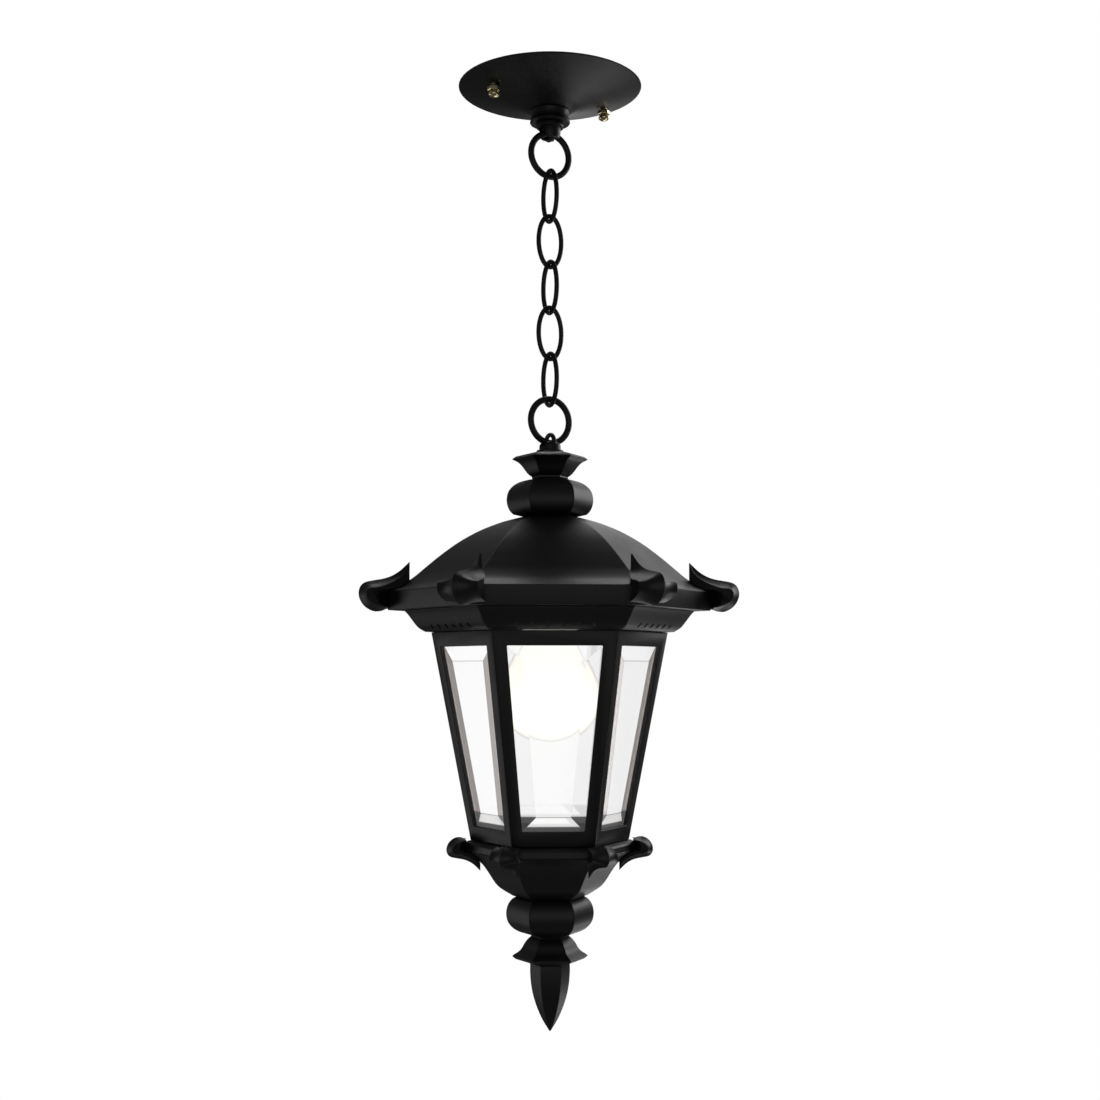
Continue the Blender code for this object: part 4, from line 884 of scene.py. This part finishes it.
# %% the vent slot tree
slot_tree, slot_ids, given, out = geometry_tree("vent_slots", [
    ("Slots per Face", "Int", 6), ("Pitch", "Float", 0.0098), ("Slot Width", "Float", 0.0024),
    ("Slot Height", "Float", 0.0048), ("Slot Depth", "Float", 0.015), ("Reach", "Float", 0.08),
    ("Height", "Float", -0.37), ("Finish", "Material", None)])
t = slot_tree
block_size = add_node(t, "ShaderNodeCombineXYZ", X=given["Slot Depth"], Y=given["Slot Width"],
                      Z=given["Slot Height"])
block = add_node(t, "GeometryNodeMeshCube", Size=block_size.outputs[0])
step = add_node(t, "ShaderNodeCombineXYZ", Y=given["Pitch"])
half_run = math_node(t, "MULTIPLY", math_node(t, "SUBTRACT", given["Slots per Face"], 1.0), -0.5)
start = add_node(t, "ShaderNodeCombineXYZ", X=given["Reach"],
                 Y=math_node(t, "MULTIPLY", half_run, given["Pitch"]), Z=given["Height"])
row = add_node(t, "GeometryNodeMeshLine", Count=given["Slots per Face"],
               Start_Location=start.outputs[0], Offset=step.outputs[0])
row_of_blocks = add_node(t, "GeometryNodeInstanceOnPoints", Points=row.outputs[0],
                         Instance=block.outputs[0])
faces = add_node(t, "GeometryNodeMeshLine", Count=SIDES)
faces.inputs["Offset"].default_value = (0.0, 0.0, 0.0)
index = t.nodes.new("GeometryNodeInputIndex")
face_turn = add_node(t, "ShaderNodeCombineXYZ", Z=math_node(
    t, "MULTIPLY", math_node(t, "ADD", index.outputs[0], 0.5), math.tau / SIDES))
all_blocks = add_node(t, "GeometryNodeInstanceOnPoints", Points=faces.outputs[0],
                      Instance=row_of_blocks.outputs[0], Rotation=face_turn.outputs[0])
real_blocks = add_node(t, "GeometryNodeRealizeInstances", Geometry=all_blocks.outputs[0])
pierced = t.nodes.new("GeometryNodeMeshBoolean")
pierced.operation = "DIFFERENCE"
pierced.solver = "EXACT"
t.links.new(given["Geometry"], pierced.inputs["Mesh 1"])
t.links.new(real_blocks.outputs[0], pierced.inputs["Mesh 2"])
real = add_node(t, "GeometryNodeRealizeInstances", Geometry=pierced.outputs[0])
painted = add_node(t, "GeometryNodeSetMaterial", Geometry=real.outputs[0],
                   Material=given["Finish"])
t.links.new(painted.outputs[0], out.inputs[0])

# %% cornice
top, foot = top_and_foot("cornice")
R, tall = corner_of("cornice"), top - foot
cage_top, cage_foot = top_and_foot("cage_frame")
CAGE_TOP_R = corner_of("cage_frame")
cove = flowing([(R, top)] + [(R - (R - CAGE_TOP_R) * f, top - tall * g) for f, g in (
    (0.110, 0.145), (0.228, 0.335), (0.337, 0.525), (0.456, 0.715), (0.532, 0.810),
    (0.640, 0.905), (0.780, 1.000))], 4)
foot_in = CAGE_TOP_R - 0.0037 - 0.0030
inside = [p for p in reversed(inner_line(cove, 0.0020)[2:-1]) if p[1] > foot + 0.0062]
blank = casting("cornice_blank", cove + [(foot_in, foot), (foot_in, foot + 0.0058)] + inside
                + [(R - 0.0040, top)], 0.0003)
reach = (CAGE_TOP_R + R) * COS30 / 2 + 0.0055
cornice = made_by(slot_tree, slot_ids, "cornice_cast", {
    "Slots per Face": 6, "Pitch": 0.0098, "Slot Width": 0.0024, "Slot Height": 0.0048,
    "Slot Depth": 0.0150, "Reach": reach, "Height": foot + 0.0020, "Finish": powder_black},
    blank.data)
bpy.data.objects.remove(blank)
settle(crisp(cornice, 40), None, "coat", "lantern", "cornice")
print("cornice faces after the slots:", len(cornice.data.polygons))

# %% [markdown]
# ## Cage and glass
# The cage is one casting with six tapering windows, so its CAD node already has the right
# planes; a copy is joined up and its edges are rounded. Each pane is flat plate with a
# wide ground bevel along all four edges. The flat and the bevel are separate faces with
# separate finishes: the ground strip bends the light and reads darker, and that shade is
# painted into the bevel finishes, while the top bevel shares the flat's painted glow.

# %% cage
cage = settle(softened("cage_frame", 0.0005), powder_black, "coat", "lantern", "cage_frame")
print("cage faces:", len(cage.data.polygons))

# %% panes
def bevelled_pane(index):
    node = "glass_panel_%d" % index
    bm = joined_copy(node)
    azimuth = math.tau * (index - 0.5) / SIDES
    lean = math.atan((CAGE_TOP_R - CAGE_FOOT_R) * COS30 / (cage_top - cage_foot))
    face_out = Vector((math.cos(lean) * math.cos(azimuth), math.cos(lean) * math.sin(azimuth),
                       -math.sin(lean)))
    edges = [e for e in bm.edges if e.calc_face_angle(0.0) > math.radians(5)]
    bmesh.ops.bevel(bm, geom=edges, offset=0.00018, segments=2, affect="EDGES", profile=0.5)
    bm.normal_update()
    for face in bm.faces:
        along = face.normal.dot(face_out)
        flat = abs(along) > 0.9995 and face.calc_area() > 1e-4
        tilt = face.normal.z - face_out.z if face.calc_area() > 1e-5 and along > 0.5 else 0.0
        # the flat and the top bevel take the flat glass with its painted glow (0); the side bevels
        # (1) and the foot bevel (2) take finishes with painted shade and a painted dark band low down
        face.material_index = 0 if flat or tilt > 0.08 else 2 if tilt < -0.08 else 1
        face.smooth = face.calc_area() < 2e-5
    mesh = mesh_of(bm, node)
    for glass in (pane_glass, bevel_glass, foot_bevel_glass):
        mesh.materials.append(glass)
    return settle(new_object("bevelled_pane_%d" % index, mesh), None, "pane", "lantern", node)


for index in range(1, SIDES + 1):
    pane = bevelled_pane(index)
print("faces in a pane:", len(pane.data.polygons))

# %% [markdown]
# ## Tray and bowl
# The tray is the rebated floor that the cage stands on, and the bowl closes it from below.
# Six smaller scrolls hang upside down round the bowl's rim.

# %% tray
top_lip, tray_foot = top_and_foot("tray")
tray_top = cage_foot - GAP
R = corner_of("tray")


def cage_inner(z, inset):
    slope = (CAGE_TOP_R - CAGE_FOOT_R) / (cage_top - cage_foot)
    return CAGE_FOOT_R + slope * (z - cage_foot) - inset


rim = 0.0037 + GAP / COS30
tall = tray_top - tray_foot
tray_side = [(R - 0.0036, tray_top), (R - 0.0012, tray_top - tall * 0.16),
             (R, tray_top - tall * 0.36), (R, tray_foot + tall * 0.10), (R - 0.0008, tray_foot)]
settle(casting("tray_cast", [(cage_inner(top_lip, rim), top_lip), (cage_inner(tray_top, rim),
                             tray_top)] + tray_side
               + [(0.0120, tray_foot), (0.0120, tray_foot + 0.0022),
                  (cage_inner(tray_top, rim) - 0.0040, tray_foot + 0.0022),
                  (cage_inner(top_lip, rim) - 0.0036, top_lip)], 0.0004, 0.0007),
       powder_black, "coat", "lantern", "tray")
print("tray corner %.4f m" % R)

# %% bowl and its scrolls
top, foot = top_and_foot("bowl")
BASE = 0.0226
drop, tall = R - BASE, top - foot
bowl_line = [(R - 0.0006, top)] + flowing([(BASE + drop * f, top - tall * g) for f, g in (
    (0.900, 0.045), (0.775, 0.140), (0.680, 0.240), (0.600, 0.345), (0.505, 0.510),
    (0.425, 0.660), (0.335, 0.790), (0.210, 0.895), (0.060, 1.000))], 4)
inside = [p for p in reversed(inner_line(bowl_line, 0.0020)[2:-1])
          if foot + 0.0026 < p[1] < top - 0.0006]
settle(casting("bowl_cast", bowl_line + [(ROD_CORE, foot), (ROD_CORE, foot + 0.0020),
               (BASE * 0.90, foot + 0.0020)] + inside + [(R - 0.0046, top)], 0.0004, 0.0007),
       powder_black, "coat", "lantern", "bowl")
SMALL = 0.665
seat = casting("bowl_seat", [(0.0, tray_top + GAP), (R - 0.0036 + grow, tray_top + GAP)]
               + [(r + grow, z) for r, z in tray_side[1:-1]]
               + [(r + grow * 0.8, z - GAP) for r, z in bowl_line] + [(0.0, foot - 0.001)],
               0.0, 0.00005, closed=False)
six_scrolls("lower_scroll", scroll("blank", R - TIP_IN * SMALL, top - TIP_UP * SMALL + 0.0006,
                                   REACH * SMALL, HALF * SMALL, -1.0), seat)

# %% [markdown]
# ## Skirt and spike
# The finial below the lower knop is a flared skirt and a long drop point, both six-sided.

# %% skirt and spike
top, foot = top_and_foot("skirt")
R, tall = corner_of("skirt"), top - foot
flare = flowing([(0.0129, top - tall * 0.040)]
                + shares(R, top, tall, (0.575, 0.120), (0.665, 0.270), (0.735, 0.440),
                         (0.815, 0.570), (0.950, 0.690)), 5)
settle(casting("skirt_cast", [(0.0126, top)] + flare + [
    (R, top - tall * 0.750), (R * 0.905, top - tall * 0.855), (0.0143, foot),
    (ROD_CORE, foot), (ROD_CORE, top)], 0.0004, 0.0006), powder_black, "coat", "lantern", "skirt")
top, foot = top_and_foot("spike")
R, tall = corner_of("spike"), top - foot
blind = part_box("tie_rod")[0].z - GAP
point = flowing(shares(R, top, tall, (1.000, 0.000), (1.000, 0.130), (0.955, 0.300),
                       (0.845, 0.470), (0.650, 0.650), (0.385, 0.825), (0.085, 0.970)), 5)
settle(casting("spike_cast", [(0.0, blind), (ROD_CORE, blind), (ROD_CORE, top)] + point
               + [(0.0, foot)], 0.0004, 0.0006, closed=False),
       powder_black, "coat", "lantern", "spike")
print("finial %.1f mm tall" % (1000 * tall))

# %% [markdown]
# ## Lamp holder and bulb
# A glazed porcelain holder hangs in a pressed cup on the stem. The bulb is a household
# shape, frosted inside, with its neck in a threaded shell. The threads are drawn as
# shallow rings in the profile, which is what they look like from outside.

# %% bulb
low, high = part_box("bulb_glass")
R, neck_r, tall = high.x, 0.0131, high.z - low.z
equator = low.z + R
shoulder = flowing([(neck_r, high.z), (neck_r * 1.06, high.z - tall * 0.100),
                    (R * 0.62, high.z - tall * 0.230), (R * 0.83, high.z - tall * 0.390),
                    (R * 0.965, high.z - tall * 0.520), (R, equator)], 6)
globe = [(R * math.cos(a), equator - R * math.sin(a))
         for a in (math.radians(4.5 * i) for i in range(1, 20))]
outer = shoulder + globe
inner = [(max(r - 0.001, 0.0005), z if z > equator else z + 0.001) for r, z in outer]
settle(turned_piece("bulb_blown", [(0.0, low.z + 0.001)] + inner[::-1] + outer
                    + [(0.0, low.z)], 0.0002, 96, closed=False),
       frosted_bulb, "frost", "lantern", "bulb_glass")
print("bulb %.0f mm across, %.0f mm tall" % (2000 * R, 1000 * tall))

# %% threaded shell, base, holder and cup
def threaded(radius, top, foot, depth, turns):
    line = []
    for i in range(turns * 4 + 1):
        share = i / (turns * 4)
        line.append((radius - depth * (0.5 - 0.5 * math.cos(share * turns * math.tau)),
                     top - (top - foot) * share))
    return line


top, foot = top_and_foot("bulb_base")
settle(turned_piece("bulb_cap_threaded", [(0.0, top), (0.0045, top), (0.0050, top - 0.0016),
                    (0.0110, top - 0.0040)]
                    + threaded(0.0131, top - 0.0060, foot + 0.0040, 0.0006, 5)
                    + [(0.0131, foot), (0.0, foot)], 0.0002, 64, closed=False),
       spun_alloy, "alloy", "lantern", "bulb_base")
top, foot = top_and_foot("socket_body")
R = corner_of("socket_body")
shell_top = top_and_foot("socket_shell")[0]
well = corner_of("socket_shell") + GAP
settle(turned_piece("holder_glazed", [(0.0, top), (R * 0.96, top), (R, top - 0.0010),
                    (R, top - 0.0200), (R - 0.0008, top - 0.0210), (R - 0.0008, top - 0.0232),
                    (R, top - 0.0242), (R, foot + 0.0016), (R - 0.0016, foot), (well, foot),
                    (well, shell_top + GAP), (0.0, shell_top + GAP)], 0.0004, 80, closed=False),
       porcelain, "china", "lantern", "socket_body")
for node, material, slot in (("socket_shell", spun_alloy, "alloy"),
                             ("socket_bracket", dull_zinc, "zinc"),
                             ("glass_keeper", spun_alloy, "alloy"), ("stem", dull_zinc, "zinc"),
                             ("stem_nut", dull_zinc, "zinc"),
                             ("loop_locknut", dull_zinc, "zinc"),
                             ("crossbar", dull_zinc, "zinc"),
                             ("tie_rod_nut", dull_zinc, "zinc"),
                             ("ground_screw", green_passivate, "green_screw")):
    body = frame["nodes"][node]["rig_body"]
    settle(softened(node, 0.00025), material, slot, body, node)
for node, material in (("canopy_stud_a", lacquered_brass), ("canopy_stud_b", lacquered_brass),
                       ("tie_rod", dull_zinc)):
    mesh = frame["nodes"][node].data
    mesh.materials.clear()
    mesh.materials.append(material)
print("holder %.1f mm across" % (2000 * R))

# %% [markdown]
# ## Studio
# The lantern hangs in a white room. The floor and the room read white to the camera, but
# they light the black castings only a little, so the coat keeps its depth. Soft lights
# behind and to the right slide along the right-hand faces, a high strip behind catches the
# flare of the roof, low ones on both sides reach the coves, and one in front fills in.

# %% floor
def seen_directly(tree):
    ray = tree.nodes.new("ShaderNodeLightPath")
    return math_node(tree, "MAXIMUM", ray.outputs["Is Camera Ray"],
                     ray.outputs["Is Transmission Ray"])


bm = bmesh.new()
bmesh.ops.create_grid(bm, x_segments=1, y_segments=1, size=14.0,
                      matrix=Matrix.Translation((0, 0, -1.35)))
floor = new_object("studio_floor", mesh_of(bm, "studio_floor"))
material, tree, shader = finish("studio_white", (0.35, 0.35, 0.35), 0.9)
glow = add_node(tree, "ShaderNodeEmission", Strength=1.0)
choose = add_node(tree, "ShaderNodeMixShader", Fac=seen_directly(tree))
tree.links.new(shader.outputs[0], choose.inputs[1])
tree.links.new(glow.outputs[0], choose.inputs[2])
tree.links.new(choose.outputs[0], tree.nodes["Material Output"].inputs["Surface"])
floor.data.materials.append(material)

# %% room and lights
world = bpy.data.worlds.new("white_room")
bpy.context.scene.world = world
world.use_nodes = True
tree = world.node_tree
tree.nodes.clear()
background = add_node(tree, "ShaderNodeBackground", Color=(1, 1, 1, 1),
                      Strength=spread(tree, seen_directly(tree), 0.09, 1.0))
add_node(tree, "ShaderNodeOutputWorld", Surface=background.outputs[0])


def soft_light(name, place, target, width, height, watts):
    data = bpy.data.lights.new(name, "AREA")
    data.shape = "RECTANGLE"
    data.size, data.size_y, data.energy = width, height, watts
    lamp = bpy.data.objects.new(name, data)
    bpy.context.scene.collection.objects.link(lamp)
    lamp.location = place
    lamp.rotation_euler = (Vector(target) - Vector(place)).to_track_quat("-Z", "Y").to_euler()
    lamp.visible_camera = False
    lamp.visible_transmission = False


MIDDLE = (0, 0, -0.40)
for name, place, target, width, height, watts in (
        ("right_wall", (1.25, 0.75, 0.15), MIDDLE, 0.7, 0.9, 6.2),
        ("behind_right", (0.42, 1.20, 0.25), (0, 0, -0.36), 0.75, 0.80, 1.7),
        ("behind_high", (0.05, 0.85, 0.75), (0, 0, -0.33), 0.90, 0.22, 2.8),
        ("behind_low", (0.35, 1.10, -0.95), (0, 0, -0.15), 0.50, 0.35, 1.2),
        ("right_low", (0.95, 0.50, -1.25), (0, 0, -0.42), 0.70, 0.50, 2.1),
        ("left_low", (-1.25, 0.50, -0.80), MIDDLE, 0.6, 0.9, 1.3),
        ("front_fill", (0.0, -1.50, -0.45), MIDDLE, 1.3, 1.0, 1.5)):
    soft_light(name, place, target, width, height, watts)
bpy.context.scene.view_settings.view_transform = "Standard"

# %% [markdown]
# ## Camera
# The camera stands a metre in front, just below the middle of the lantern's height, and
# looks slightly up, which shows the underside of the canopy.

# %% camera
data = bpy.data.cameras.new("front_camera")
data.lens, data.sensor_width = 50.0, 36.0
data.clip_start, data.clip_end = 0.01, 60.0
camera = bpy.data.objects.new("front_camera", data)
bpy.context.scene.collection.objects.link(camera)
camera.matrix_world = (Matrix.Rotation(math.radians(-2.70), 4, "Z")
                       @ Matrix.Translation((0.0, -1.03505, -0.40308))
                       @ Matrix.Rotation(math.radians(90 + 4.44), 4, "X"))
bpy.context.scene.camera = camera

# %% [markdown]
# ## Finish
# The view layer is brought up to date once the scene is dressed.

# %% bring the scene up to date
bpy.context.view_layer.update()
